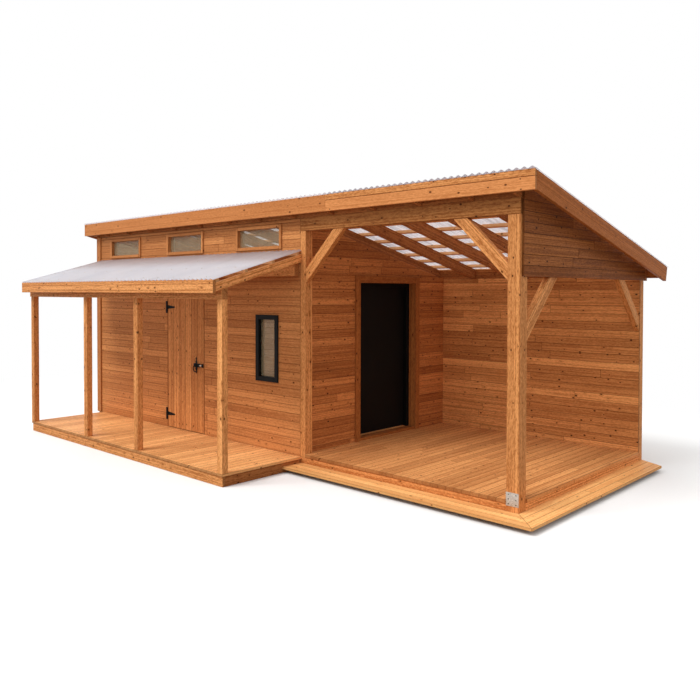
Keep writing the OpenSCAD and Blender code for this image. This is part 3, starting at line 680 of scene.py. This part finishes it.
# The front beam's wood is a darker copy of the framing cedar: painted shade from the fascia's overhang.
SHADED_BEAM = wood("beam_cedar_painted_shade", (192, 128, 73), (142, 83, 42), (54, 27, 12), 0.7, spread=0.25, groove_dirt_and_shade=0.1)
DOOR_WOOD = wood("door_cedar", (232, 161, 98), (184, 113, 64), (62, 31, 15), 0.5, spread=0.25)
BLACK_IRON = painted("black_iron", srgb(9, 8, 7), srgb(22, 20, 18), 0.55)
BLACK_PAINT = painted("black_paint", srgb(11, 10, 9), srgb(18, 17, 15), 0.5)
ZINC = galvanised("zinc")
ROOF_SHEET = clear_sheet(
    "roof_clear_sheet", srgb(240, 239, 246), srgb(249, 248, 251), clear=0.40, glow=0.45, streaks=0.36,
    lip=0.8,
)
PORCH_SHEET = clear_sheet(
    "porch_clear_sheet", srgb(228, 232, 240), srgb(238, 241, 247), clear=0.32, glow=0.46, streaks=0.25,
    wall_shade=0.64,
)
GLASS = pane("window_glass")

# Directions of the grain
ALONG_X = Vector((1, 0, 0))
ALONG_Y = Vector((0, 1, 0))
UPRIGHT = Vector((0, 0, 1))


# Walls
def joints(chance, start, stop, shortest, longest, holes):
    """Ends of the boards of one course, with no butt joint over a hole."""
    ends = [start]
    while stop - ends[-1] > longest:
        place = ends[-1] + chance.uniform(shortest, longest)
        for low, high, _, _ in holes:
            if low - JOINT_CLEAR < place < high + JOINT_CLEAR:
                place = high + JOINT_CLEAR
        if stop - place < shortest:
            break
        ends.append(place)
    ends.append(stop)
    return list(zip(ends, ends[1:]))


def board_outlines(ua, ub, va, vb, holes):
    """What is left of a board, as outlines, where holes cross or notch it."""
    crossing = sorted(
        hole for hole in holes if hole[0] < ub and hole[1] > ua and hole[2] < vb and hole[3] > va
    )
    spans = []
    start = ua
    for low, high, bottom, top in crossing:
        if bottom <= va and top >= vb:
            spans.append((start, low))
            start = high
    spans.append((start, ub))
    outlines = []
    for s0, s1 in spans:
        if s1 - s0 < WELD:
            continue
        lower = [(s0, va)]
        upper = [(s0, vb)]
        for low, high, bottom, top in crossing:
            if low < s0 or high > s1:
                continue
            if bottom > va:
                upper += [(low, vb), (low, bottom), (high, bottom), (high, vb)]
            elif top < vb:
                lower += [(low, va), (low, top), (high, top), (high, va)]
        lower.append((s1, va))
        upper.append((s1, vb))
        outlines.append(lower + upper[::-1])
    return outlines


def under_line(outline, top):
    """The part of an outline under a straight line v = top(u)."""
    kept = []
    for index, point in enumerate(outline):
        before = outline[index - 1]
        over_before = before[1] - top(before[0])
        over = point[1] - top(point[0])
        if (over_before > 0) != (over > 0):
            share = over_before / (over_before - over)
            kept.append(tuple(a + share * (b - a) for a, b in zip(before, point)))
        if over <= 0:
            kept.append(point)
    return [point for index, point in enumerate(kept) if math.dist(point, kept[index - 1]) > MERGE]


def area(outline):
    total = 0.0
    for index, point in enumerate(outline):
        before = outline[index - 1]
        total += before[0] * point[1] - point[0] * before[1]
    return abs(total) / 2


def skin(timber, place, span, rise, depth, holes, top, lengths, pitch=SIDING_PITCH, ease=BOARD_EDGE):
    """Horizontal boards over one layer of a wall, cut round its holes and under its sloping top."""
    along = place(1, 0, 0) - place(0, 0, 0)
    inward = place(0, 0, depth[1]) - place(0, 0, depth[0])
    rows = math.ceil((rise[1] - rise[0]) / pitch)
    for row in range(rows):
        va = rise[0] + row * pitch
        vb = min(va + pitch, rise[1])
        crossing = [hole for hole in holes if hole[2] < vb and hole[3] > va]
        for ua, ub in joints(timber.random, *span, *lengths, crossing):
            for outline in board_outlines(ua, ub, va, vb, crossing):
                outline = under_line(outline, top)
                if len(outline) < 3 or area(outline) < SMALLEST_PIECE:
                    continue
                timber.prism([place(u, v, depth[0]) for u, v in outline], inward, along, ease)


def build_wall(name, timber, lining, material, *nodes):
    """Makes the two pieces of a wall: its boards, and the boards that line the room."""
    timber.build(name + "_boards", material, "siding", "building", *nodes)
    lining.build(name + "_lining", INSIDE, "siding", "building", *nodes)


def wall(name, seed, material, nodes, place, span, rise, depth, outside, top, lengths, holes=()):
    """A wall in three layers: boards outside, studs in the middle and boards that line the room."""
    timber = Timber(seed)
    lining = Timber(seed + LINING_SEED)
    start, stop = depth
    if outside < 0:
        faces = (start, start + OUTER_SKIN, stop - INNER_SKIN, stop)
        takers = (timber, timber, lining)
    else:
        faces = (start, start + INNER_SKIN, stop - OUTER_SKIN, stop)
        takers = (lining, timber, timber)
    for index, taker in enumerate(takers):
        layer = faces[index:index + 2]
        studs = index == 1
        skin(
            taker, place, span, rise, layer, holes, lambda u: top(u, layer[1]), lengths,
            STUD_COURSE if studs else SIDING_PITCH, 0.0 if studs else BOARD_EDGE,
        )
    build_wall(name, timber, lining, material, *nodes)


def front_wall():
    """The front wall, with holes for the door and behind each window frame's flange."""
    holes = [(WAY_X, WAY_X_END, 0.0, WAY_TOP)]
    for node in ("tall_window_frame", "high_window_frames"):
        for faces in solids(node):
            xs, _, zs = spots(points_of(faces))
            holes.append((xs[1], xs[-2], zs[1], zs[-2]))
    wall(
        "front_wall", 11, SIDING, ("front_wall_left", "front_wall_right", "front_wall_top"), along_x,
        (X_LEFT, X_CORNER), (FRAME_TOP, SEAT_FRONT), (Y_FRONT, Y_FRONT_IN), -1, lambda u, w: seat(w),
        FRONT_LENGTHS, holes,
    )


def left_wall():
    thickness = Y_FRONT_IN - Y_FRONT
    wall(
        "left_wall", 12, SIDING, ("left_wall",), along_y, SIDE_SPAN, SIDE_RISE,
        (X_LEFT, X_LEFT + thickness), -1, lambda u, w: seat(u), LEFT_LENGTHS,
    )


def back_wall():
    seed = 13
    timber = Timber(seed)
    lining = Timber(seed + LINING_SEED)
    rise = (FRAME_TOP, seat(Y_BACK_IN))
    inner = rear_low.y
    outer = Y_BACK - OUTER_SKIN
    whole = (X_LEFT, X_POST)
    for taker, span, depth, pitch, ease in (
        (lining, (X_LEFT, X_DIV_IN), (Y_BACK_IN, inner), SIDING_PITCH, BOARD_EDGE),
        (timber, (X_DIV_IN, X_RIGHT), (Y_BACK_IN, inner), SIDING_PITCH, BOARD_EDGE),
        (timber, whole, (inner, outer), STUD_COURSE, 0.0),
        (timber, whole, (outer, Y_BACK), SIDING_PITCH, BOARD_EDGE),
    ):
        skin(taker, along_x, span, rise, depth, [], lambda u: seat(depth[1]), BACK_LENGTHS, pitch, ease)
    build_wall("back_wall", timber, lining, PATIO_LINING, "back_wall")


def dividing_wall():
    low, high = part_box("black_door_lining")
    wall(
        "dividing_wall", 14, SIDE_LINING, ("side_wall_front", "side_wall_rear", "side_wall_head"), along_y,
        SIDE_SPAN, SIDE_RISE, (X_DIV_IN, X_DIV), 1, lambda u, w: seat(u), DIVIDING_LENGTHS,
        [(low.y, high.y, 0.0, high.z)],
    )


def gable():
    low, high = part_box("gable_panel")
    timber = Timber(15)
    skin(
        timber, along_y, (low.y, high.y), (low.z, high.z), (low.x, high.x), [],
        lambda u: high.z - (u - low.y) * ROOF_SLOPE, GABLE_LENGTHS,
    )
    timber.build("gable_boards", GABLE, "siding", "building", "gable_panel")


# Floors
def boards_in(left, right):
    """How many deck boards fill a width, and how wide each of them is."""
    count = max(1, round((right - left) / DECK_PITCH))
    return count, (right - left) / count


def deck(name, seed, material, lengths, *strips):
    """A floor's boards along Y, with butt joints, over strips from X to X that start at their own Y."""
    low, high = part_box(name)
    timber = Timber(seed)
    for left, right, front in strips:
        count, width = boards_in(left, right)
        for index in range(count):
            x0 = left + index * width
            x1 = left + (index + 1) * width
            for ya, yb in joints(timber.random, front, high.y, *lengths, []):
                timber.block((x0, ya, low.z), (x1, yb, high.z), ALONG_Y)
    timber.build(name + "_boards", material, "decking", "building", name)


def floors():
    low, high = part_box("patio_floor")
    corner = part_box("corner_post")[1].x
    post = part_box("front_right_post")[1].y
    edge = X_POST + DECK_PITCH
    deck(
        "patio_floor", 21, SHADED_PATIO_DECKING, PATIO_LENGTHS, (low.x, corner, Y_FRONT_IN), (corner, X_POST, low.y),
        (X_POST, edge, post), (edge, high.x, post),
    )
    low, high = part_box("cabin_floor")
    deck(
        "cabin_floor", 22, DECKING, CABIN_LENGTHS, (low.x, WAY_X, Y_FRONT_IN), (WAY_X, WAY_X_END, low.y),
        (WAY_X_END, high.x, Y_FRONT_IN),
    )
    low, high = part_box("porch_deck")
    deck("porch_deck", 23, DECKING, PORCH_LENGTHS, (low.x, high.x, low.y))


def steps():
    """The low step: mitred treads of three boards a run, each run over a set-back base."""
    front_low, front_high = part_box("step_front")
    side_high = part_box("step_side")[1]
    tread_z = levels("step_front")[Z_AXIS][1]
    top = front_high.z
    depth = Vector((0, 0, top - tread_z))
    width = Y_FRONT - front_low.y
    board = width / TREAD_BOARDS
    cut = side_high.y - levels("step_side")[Y_AXIS][-3]
    front = Timber(24)
    side = Timber(25)
    for index in range(TREAD_BOARDS):
        near = index * board
        far = near + board
        y0 = Y_FRONT - near
        y1 = Y_FRONT - far
        for xa, xb in joints(front.random, front_low.x, X_RIGHT, *TREAD_LENGTHS, []):
            mitre = 1 if xb == X_RIGHT else 0
            outline = ((xa, y0), (xb + mitre * near, y0), (xb + mitre * far, y1), (xa, y1))
            front.prism([Vector((x, y, tread_z)) for x, y in outline], depth, ALONG_X)
        x0 = X_RIGHT + near
        x1 = X_RIGHT + far
        for ya, yb in joints(side.random, Y_FRONT, side_high.y, *TREAD_LENGTHS, []):
            mitre = 1 if ya == Y_FRONT else 0
            slant = cut if yb == side_high.y else 0
            outline = (
                (x0, ya - mitre * near), (x1, ya - mitre * far),
                (x1, yb - slant * far / width), (x0, yb - slant * near / width),
            )
            side.prism([Vector((x, y, tread_z)) for x, y in outline], depth, ALONG_Y)
    for timber, node, along in ((front, "step_front", ALONG_X), (side, "step_side", ALONG_Y)):
        for faces in solids(node):
            if max(point.z for point in points_of(faces)) < top - WELD:
                timber.take(faces, along, UPRIGHT, TIMBER_EDGE)
        timber.build(node + "_boards", TREADS, "decking", "building", node)


# Posts, beams, roof timber and trim, as the frame has them
TIMBER_NODES = (
    ("floor_rims", FRAMING), ("floor_joists", ROOF_TIMBER),
    ("porch_rims", FRAMING), ("porch_joists", ROOF_TIMBER),
    ("corner_boards", SIDING), ("corner_post", FRAMING), ("front_right_post", FRAMING),
    ("rear_right_post", FRAMING), ("front_beam", SHADED_BEAM), ("side_beam", FRAMING), ("knee_braces", FRAMING),
    ("rafters", ROOF_TIMBER), ("eave_blocks", ROOF_TIMBER), ("purlins", LIT_PURLIN),
    ("rake_boards", RAKE), ("back_fascia", RAKE),
    ("porch_posts", FRAMING), ("porch_beam", FRAMING), ("porch_ledger", FRAMING),
    ("porch_rafters", FRAMING), ("porch_purlins", LIT_PURLIN), ("porch_fascia", FRAMING),
)


def timbers():
    for index, (node, material) in enumerate(TIMBER_NODES):
        timber = Timber(TIMBER_SEED + index)
        timber.node(node)
        timber.build(node + "_timber", material, "framing", "building", node)


def front_fascia():
    """One full board to the left of a butt joint; a lower board and a strip over it to the right."""
    low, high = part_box("front_fascia")
    back_top = high.z - (high.y - low.y) * ROOF_SLOPE
    split = high.z - FASCIA_STRIP
    whole = [(low.y, low.z), (high.y, low.z), (high.y, back_top), (low.y, high.z)]
    board = [(low.y, low.z), (high.y, low.z), (high.y, split - FASCIA_GAP), (low.y, split - FASCIA_GAP)]
    strip = [(low.y, split), (high.y, split), (high.y, back_top), (low.y, high.z)]
    for name, seed, material, profile, start, stop in (
        ("front_fascia_left", 41, FASCIA_LEFT, whole, low.x, FASCIA_JOINT),
        ("front_fascia_right", 42, FASCIA, board, FASCIA_JOINT, high.x),
        ("front_fascia_strip", 43, FRAMING, strip, FASCIA_JOINT, high.x),
    ):
        timber = Timber(seed)
        outline = [Vector((start, y, z)) for y, z in profile]
        timber.beam(outline, Vector((stop - start, 0, 0)), TIMBER_EDGE)
        timber.build(name, material, "framing", "building", "front_fascia")


# Doors and windows
def bars(timber, low, high, inner_low, inner_high, axis, ease):
    """Four bars round a rectangular light in a wall that runs along X or Y: sides upright, ends across."""
    across = X_AXIS if axis.x else Y_AXIS
    for grain, cut, left, right in (
        (UPRIGHT, across, low[across], high[across]),
        (axis, Z_AXIS, inner_low[across], inner_high[across]),
    ):
        for start, stop in ((low[cut], inner_low[cut]), (inner_high[cut], high[cut])):
            corner_low = list(low)
            corner_high = list(high)
            corner_low[across] = left
            corner_high[across] = right
            corner_low[cut] = start
            corner_high[cut] = stop
            if stop - start > WELD:
                timber.block(corner_low, corner_high, grain, ease)


def window_frame(node, material, slot, seed, ease):
    """Flange and sleeve of each window, from four bars each."""
    timber = Timber(seed)
    for faces in solids(node):
        xs, ys, zs = spots(points_of(faces))
        light_low = (xs[2], 0, zs[2])
        light_high = (xs[-3], 0, zs[-3])
        bars(timber, (xs[0], ys[0], zs[0]), (xs[-1], ys[1], zs[-1]), light_low, light_high, ALONG_X, ease)
        bars(timber, (xs[1], ys[1], zs[1]), (xs[-2], ys[-1], zs[-2]), light_low, light_high, ALONG_X, ease)
    timber.build(node + "_bars", material, slot, "building", node)


def black_doorway():
    low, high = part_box("black_door_lining")
    _, ys, zs = levels("black_door_lining")
    lining = Timber(31)
    bars(lining, low, high, (0, ys[1], zs[1]), (0, ys[-2], zs[-2]), ALONG_Y, BOARD_EDGE)
    lining.build("black_door_lining_boards", CASING, "framing", "building", "black_door_lining")
    low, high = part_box("black_door_casing")
    _, ys, zs = levels("black_door_casing")
    casing = Timber(32)
    bars(casing, low, high, (0, ys[1], zs[0]), (0, ys[-2], zs[1]), ALONG_Y, TIMBER_EDGE)
    casing.build("black_door_casing_boards", CASING, "framing", "building", "black_door_casing")
    leaf = Timber(33)
    leaf.node("black_door", PAINT_EDGE)
    leaf.build("black_door_leaf", BLACK_PAINT, "black_paint", "black_leaf", "black_door")
    jambs = Timber(34)
    jambs.node("black_door_frame", PAINT_EDGE)
    xs, ys, zs = levels("black_door_frame")
    head_stop = zs[1] - (ys[2] - ys[1])
    jambs.block((xs[1], ys[2], head_stop), (xs[2], ys[-3], zs[1]), ALONG_Y, PAINT_EDGE)
    jambs.build("black_door_jambs", BLACK_PAINT, "black_paint", "building", "black_door_frame")


def plank_door():
    low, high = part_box("plank_door")
    xs, ys, zs = levels("plank_door")
    width = (high.x - low.x) / DOOR_BOARDS
    timber = Timber(35)
    for index in range(DOOR_BOARDS):
        x = low.x + index * width
        timber.block((x, ys[0], low.z), (x + width, ys[1], high.z), UPRIGHT, TIMBER_EDGE)
    inner = zs[1:-1]
    for bottom, top in zip(inner[::2], inner[1::2]):
        timber.block((xs[1], ys[1], bottom), (xs[-2], ys[-1], top), ALONG_X, TIMBER_EDGE)
    timber.build("plank_door_boards", DOOR_WOOD, "door_boards", "plank_leaf", "plank_door")


def finishes():
    """CAD nodes whose shape stays get their finish."""
    for node, material in (
        ("plank_hinge_plates", BLACK_IRON), ("plank_hinge_straps", BLACK_IRON), ("ring_latch", BLACK_IRON),
        ("black_hinge_plates", ZINC), ("black_hinge_leaves", ZINC), ("post_plate", ZINC),
        ("tall_window_glass", GLASS), ("high_window_glass", GLASS),
    ):
        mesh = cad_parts[node].data
        mesh.materials.clear()
        mesh.materials.append(material)


# Roof sheets
def corrugated(node, material, origin, width, run, angle):
    """A corrugated sheet that runs from its origin towards +Y, up or down the slope."""
    waves = math.floor(width / WAVE_PITCH + WELD)
    count = waves * WAVE_POINTS
    slope = Matrix.Rotation(angle, 3, "X")
    points = []
    for lift in (0.0, SHEET_T):
        for y in (0.0, run):
            for index in range(count + 1):
                rise = WAVE_H / 2 * (1 - math.cos(2 * math.pi * index / WAVE_POINTS))
                points.append(origin + slope @ Vector((index * width / count, y, rise + lift)))
    row = count + 1
    faces = []
    for index in range(count):
        a = index
        b = index + 1
        faces.append((a, row + a, row + b, b))
        faces.append((2 * row + a, 2 * row + b, 3 * row + b, 3 * row + a))
        faces.append((a, b, 2 * row + b, 2 * row + a))
        faces.append((row + a, 3 * row + a, 3 * row + b, row + b))
    for end in (0, count):
        faces.append((end, 2 * row + end, 3 * row + end, row + end))
    name = node + "_waves"
    mesh = new_mesh(name, points, faces, material)
    mesh.shade_smooth()
    mesh.set_sharp_from_angle(angle=WAVE_SHARP)
    place_piece(name, mesh, "clear_sheet", "building", node)


def roof_sheets():
    """The main sheet, which falls towards the back, and the porch's, which rises to the wall."""
    thick = WAVE_H + SHEET_T
    for node, material, angle in (
        ("roof_sheet", ROOF_SHEET, -ROOF_ANGLE), ("porch_sheet", PORCH_SHEET, PORCH_ANGLE),
    ):
        low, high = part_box(node)
        lean = thick * math.sin(abs(angle))
        run = (high.y - low.y - lean) / math.cos(angle)
        start = Vector((low.x, low.y + lean, low.z))
        if angle < 0:
            start = Vector((low.x, low.y, high.z - thick * math.cos(angle)))
        corrugated(node, material, start, high.x - low.x, run, angle)


# Screws
class Screws:
    """Small round heads, gathered into one mesh."""

    def __init__(self):
        self.points = []
        self.faces = []

    def head(self, place, out, radius, height):
        """Adds one head that stands on a surface at a place and looks outward."""
        turn = out.to_track_quat("Z", "Y")
        base = len(self.points)
        for lift, share in ((-height, 1.0), (SCREW_CROWN * height, 1.0), (height, SCREW_CROWN)):
            for index in range(SCREW_SIDES):
                angle = 2 * math.pi * index / SCREW_SIDES
                spot = Vector((radius * share * math.cos(angle), radius * share * math.sin(angle), lift))
                self.points.append(place + turn @ spot)
        for ring in (0, SCREW_SIDES):
            for index in range(SCREW_SIDES):
                after = (index + 1) % SCREW_SIDES
                self.faces.append((
                    base + ring + index, base + ring + after,
                    base + ring + SCREW_SIDES + after, base + ring + SCREW_SIDES + index,
                ))
        self.faces.append([base + 2 * SCREW_SIDES + index for index in range(SCREW_SIDES)])
        self.faces.append([base + index for index in reversed(range(SCREW_SIDES))])

    def build(self, name, material, slot, body):
        place_piece(name, new_mesh(name, self.points, self.faces, material), slot, body)


def roof_screws():
    """A screw on every fourth crest, over each purlin."""
    for sheet, node, angle, name in (
        ("roof_sheet", "purlins", -ROOF_ANGLE, "roof_screws"),
        ("porch_sheet", "porch_purlins", PORCH_ANGLE, "porch_roof_screws"),
    ):
        low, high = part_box(sheet)
        width = high.x - low.x
        waves = math.floor(width / WAVE_PITCH + WELD)
        up = Vector((0, -math.sin(angle), math.cos(angle)))
        screws = Screws()
        for faces in solids(node):
            corners = points_of(faces)
            top = max(point.dot(up) for point in corners)
            y = sum(point.y for point in corners) / len(corners)
            crest = top + WAVE_H + SHEET_T
            z = (crest - y * up.y) / up.z
            for wave in range(1, waves, SCREW_EVERY):
                x = low.x + (wave + 0.5) * width / waves
                screws.head(Vector((x, y, z)), up, ROOF_SCREW_R, ROOF_SCREW_H)
        screws.build(name, ZINC, "zinc", "building")


def floor_screws():
    """Pairs of screws in each board of the patio floor and the porch deck, over the joists."""
    screws = Screws()
    porch_low, porch_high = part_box("porch_deck")
    for node, left, right, joists, inset in (
        ("patio_floor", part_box("corner_post")[1].x, X_POST, PATIO_SCREW_ROWS, PATIO_SCREW_INSET),
        ("porch_deck", porch_low.x, porch_high.x, PORCH_SCREW_ROWS, PORCH_SCREW_INSET),
    ):
        low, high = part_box(node)
        count, width = boards_in(left, right)
        for board in range(count):
            for row in range(joists):
                y = low.y + inset + row * (high.y - low.y - 2 * inset) / (joists - 1)
                for share in BOARD_SCREWS:
                    place = Vector((left + (board + share) * width, y, high.z))
                    screws.head(place, UPRIGHT, DECK_SCREW_R, DECK_SCREW_H)
    screws.build("floor_screws", BLACK_IRON, "black_iron", "building")


def iron_screws():
    """Screws of the post plate and the strap hinges, and the latch's bright bolt."""
    out = Vector((0, -1, 0))
    low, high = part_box("post_plate")
    plate = Screws()
    for x in PLATE_SCREWS_X:
        for z in PLATE_SCREWS_Z:
            place = Vector((low.x + x * (high.x - low.x), low.y, low.z + z * (high.z - low.z)))
            plate.head(place, out, IRON_SCREW_R, IRON_SCREW_H)
    plate.build("plate_screws", BLACK_IRON, "black_iron", "building")
    hinge_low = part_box("plank_hinge_plates")[0]
    strap_low, strap_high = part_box("plank_hinge_straps")
    wall_side = Screws()
    door_side = Screws()
    for faces in solids("plank_hinge_plates"):
        heights = [point.z for point in points_of(faces)]
        middle = (min(heights) + max(heights)) / 2
        reach = (max(heights) - min(heights)) / 2
        for share in HINGE_SCREWS:
            place = Vector((hinge_low.x + HINGE_SCREW, Y_FRONT - HINGE_T, middle + share * reach))
            wall_side.head(place, out, IRON_SCREW_R, IRON_SCREW_H)
        for share in STRAP_SCREWS:
            place = Vector((strap_low.x + share * (strap_high.x - strap_low.x), Y_FRONT - HINGE_T, middle))
            door_side.head(place, out, IRON_SCREW_R, IRON_SCREW_H)
    wall_side.build("hinge_plate_screws", BLACK_IRON, "black_iron", "building")
    door_side.build("hinge_strap_screws", BLACK_IRON, "black_iron", "plank_leaf")
    latch_low, latch_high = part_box("ring_latch")
    bolt = Screws()
    middle = Vector((latch_high.x - BOLT_BACK, Y_FRONT - BOLT_OUT, (latch_low.z + latch_high.z) / 2))
    bolt.head(middle, ALONG_X, BOLT_R, BOLT_HALF)
    bolt.build("latch_bolt", ZINC, "zinc", "plank_leaf")


# Stage, light and camera
def floor():
    """A pale floor that keeps the shadow and fades to white far out."""
    shader = Shader(bpy.data.materials.new("studio_floor"))
    place = shader.place()
    oval = shader.add("VectorMath", {0: place, 1: FADE_STRETCH}, operation="MULTIPLY")
    far = shader.add("VectorMath", {0: oval.outputs["Vector"]}, operation="LENGTH").outputs["Value"]
    seen = shader.seen()
    fade = shader.math("MULTIPLY", shader.between(far, FADE_START, FADE_END), seen)
    paper = shader.mix(shader.noise(place, 30.0, 3.0), srgb(249, 249, 248), srgb(253, 253, 252))
    pale = shader.bsdf("Principled", {
        "Base Color": shader.mix(seen, FLOOR_BOUNCE, paper), "Roughness": 0.9, "Specular IOR Level": 0.1,
    })
    white = shader.add("Emission", {"Color": WHITE, "Strength": 1.0}).outputs["Emission"]
    paint = shader.finish(shader.blend(fade, pale, white))
    ring = [(x * FLOOR_HALF, y * FLOOR_HALF, 0) for x, y in ((-1, -1), (1, -1), (1, 1), (-1, 1))]
    plane = linked("studio_floor", new_mesh("studio_floor", ring, [(0, 1, 2, 3)], paint))
    plane.location.z = -FLOOR_DROP


def light():
    """A white sky and one wide key lamp from the front left."""
    world = bpy.data.worlds.new("studio")
    bpy.context.scene.world = world
    shader = Shader(world)
    strength = shader.between(shader.seen(), 0.0, 1.0, WORLD_LIGHT, 1.0)
    background = shader.add("Background", {"Color": WHITE, "Strength": strength})
    shader.finish(background.outputs["Background"], "OutputWorld")
    lamp = bpy.data.lights.new("key", "SUN")
    lamp.energy = KEY_STRENGTH
    lamp.angle = KEY_SPREAD
    key = linked("key", lamp)
    key.rotation_euler = KEY_FROM.to_track_quat("Z", "Y").to_euler()


def camera():
    forward = Vector((
        -math.sin(CAMERA_YAW) * math.cos(CAMERA_PITCH),
        math.cos(CAMERA_YAW) * math.cos(CAMERA_PITCH),
        math.sin(CAMERA_PITCH),
    ))
    right = Vector((math.cos(CAMERA_YAW), math.sin(CAMERA_YAW), 0))
    down = forward.cross(right)
    right_rolled = right * math.cos(CAMERA_ROLL) + down * math.sin(CAMERA_ROLL)
    down_rolled = down * math.cos(CAMERA_ROLL) - right * math.sin(CAMERA_ROLL)
    turn = Matrix((right_rolled, -down_rolled, -forward)).transposed()
    lens = bpy.data.cameras.new("camera")
    lens.sensor_width = SENSOR_MM
    lens.lens = SENSOR_MM * FOCAL_PX / FRAME_PX
    lens.shift_x = 0.5 - PRINCIPAL_X_PX / FRAME_PX
    lens.shift_y = PRINCIPAL_Y_PX / FRAME_PX - 0.5
    eye = linked("camera", lens)
    eye.matrix_world = Matrix.Translation(CAMERA_PLACE) @ turn.to_4x4()
    bpy.context.scene.camera = eye


front_wall()
left_wall()
back_wall()
dividing_wall()
gable()
floors()
steps()
timbers()
front_fascia()
window_frame("tall_window_frame", BLACK_PAINT, "black_paint", 36, PAINT_EDGE)
window_frame("high_window_frames", SIDING, "framing", 37, BOARD_EDGE)
black_doorway()
plank_door()
finishes()
roof_sheets()
roof_screws()
floor_screws()
iron_screws()
floor()
light()
camera()
bpy.context.scene.view_settings.view_transform = "Standard"
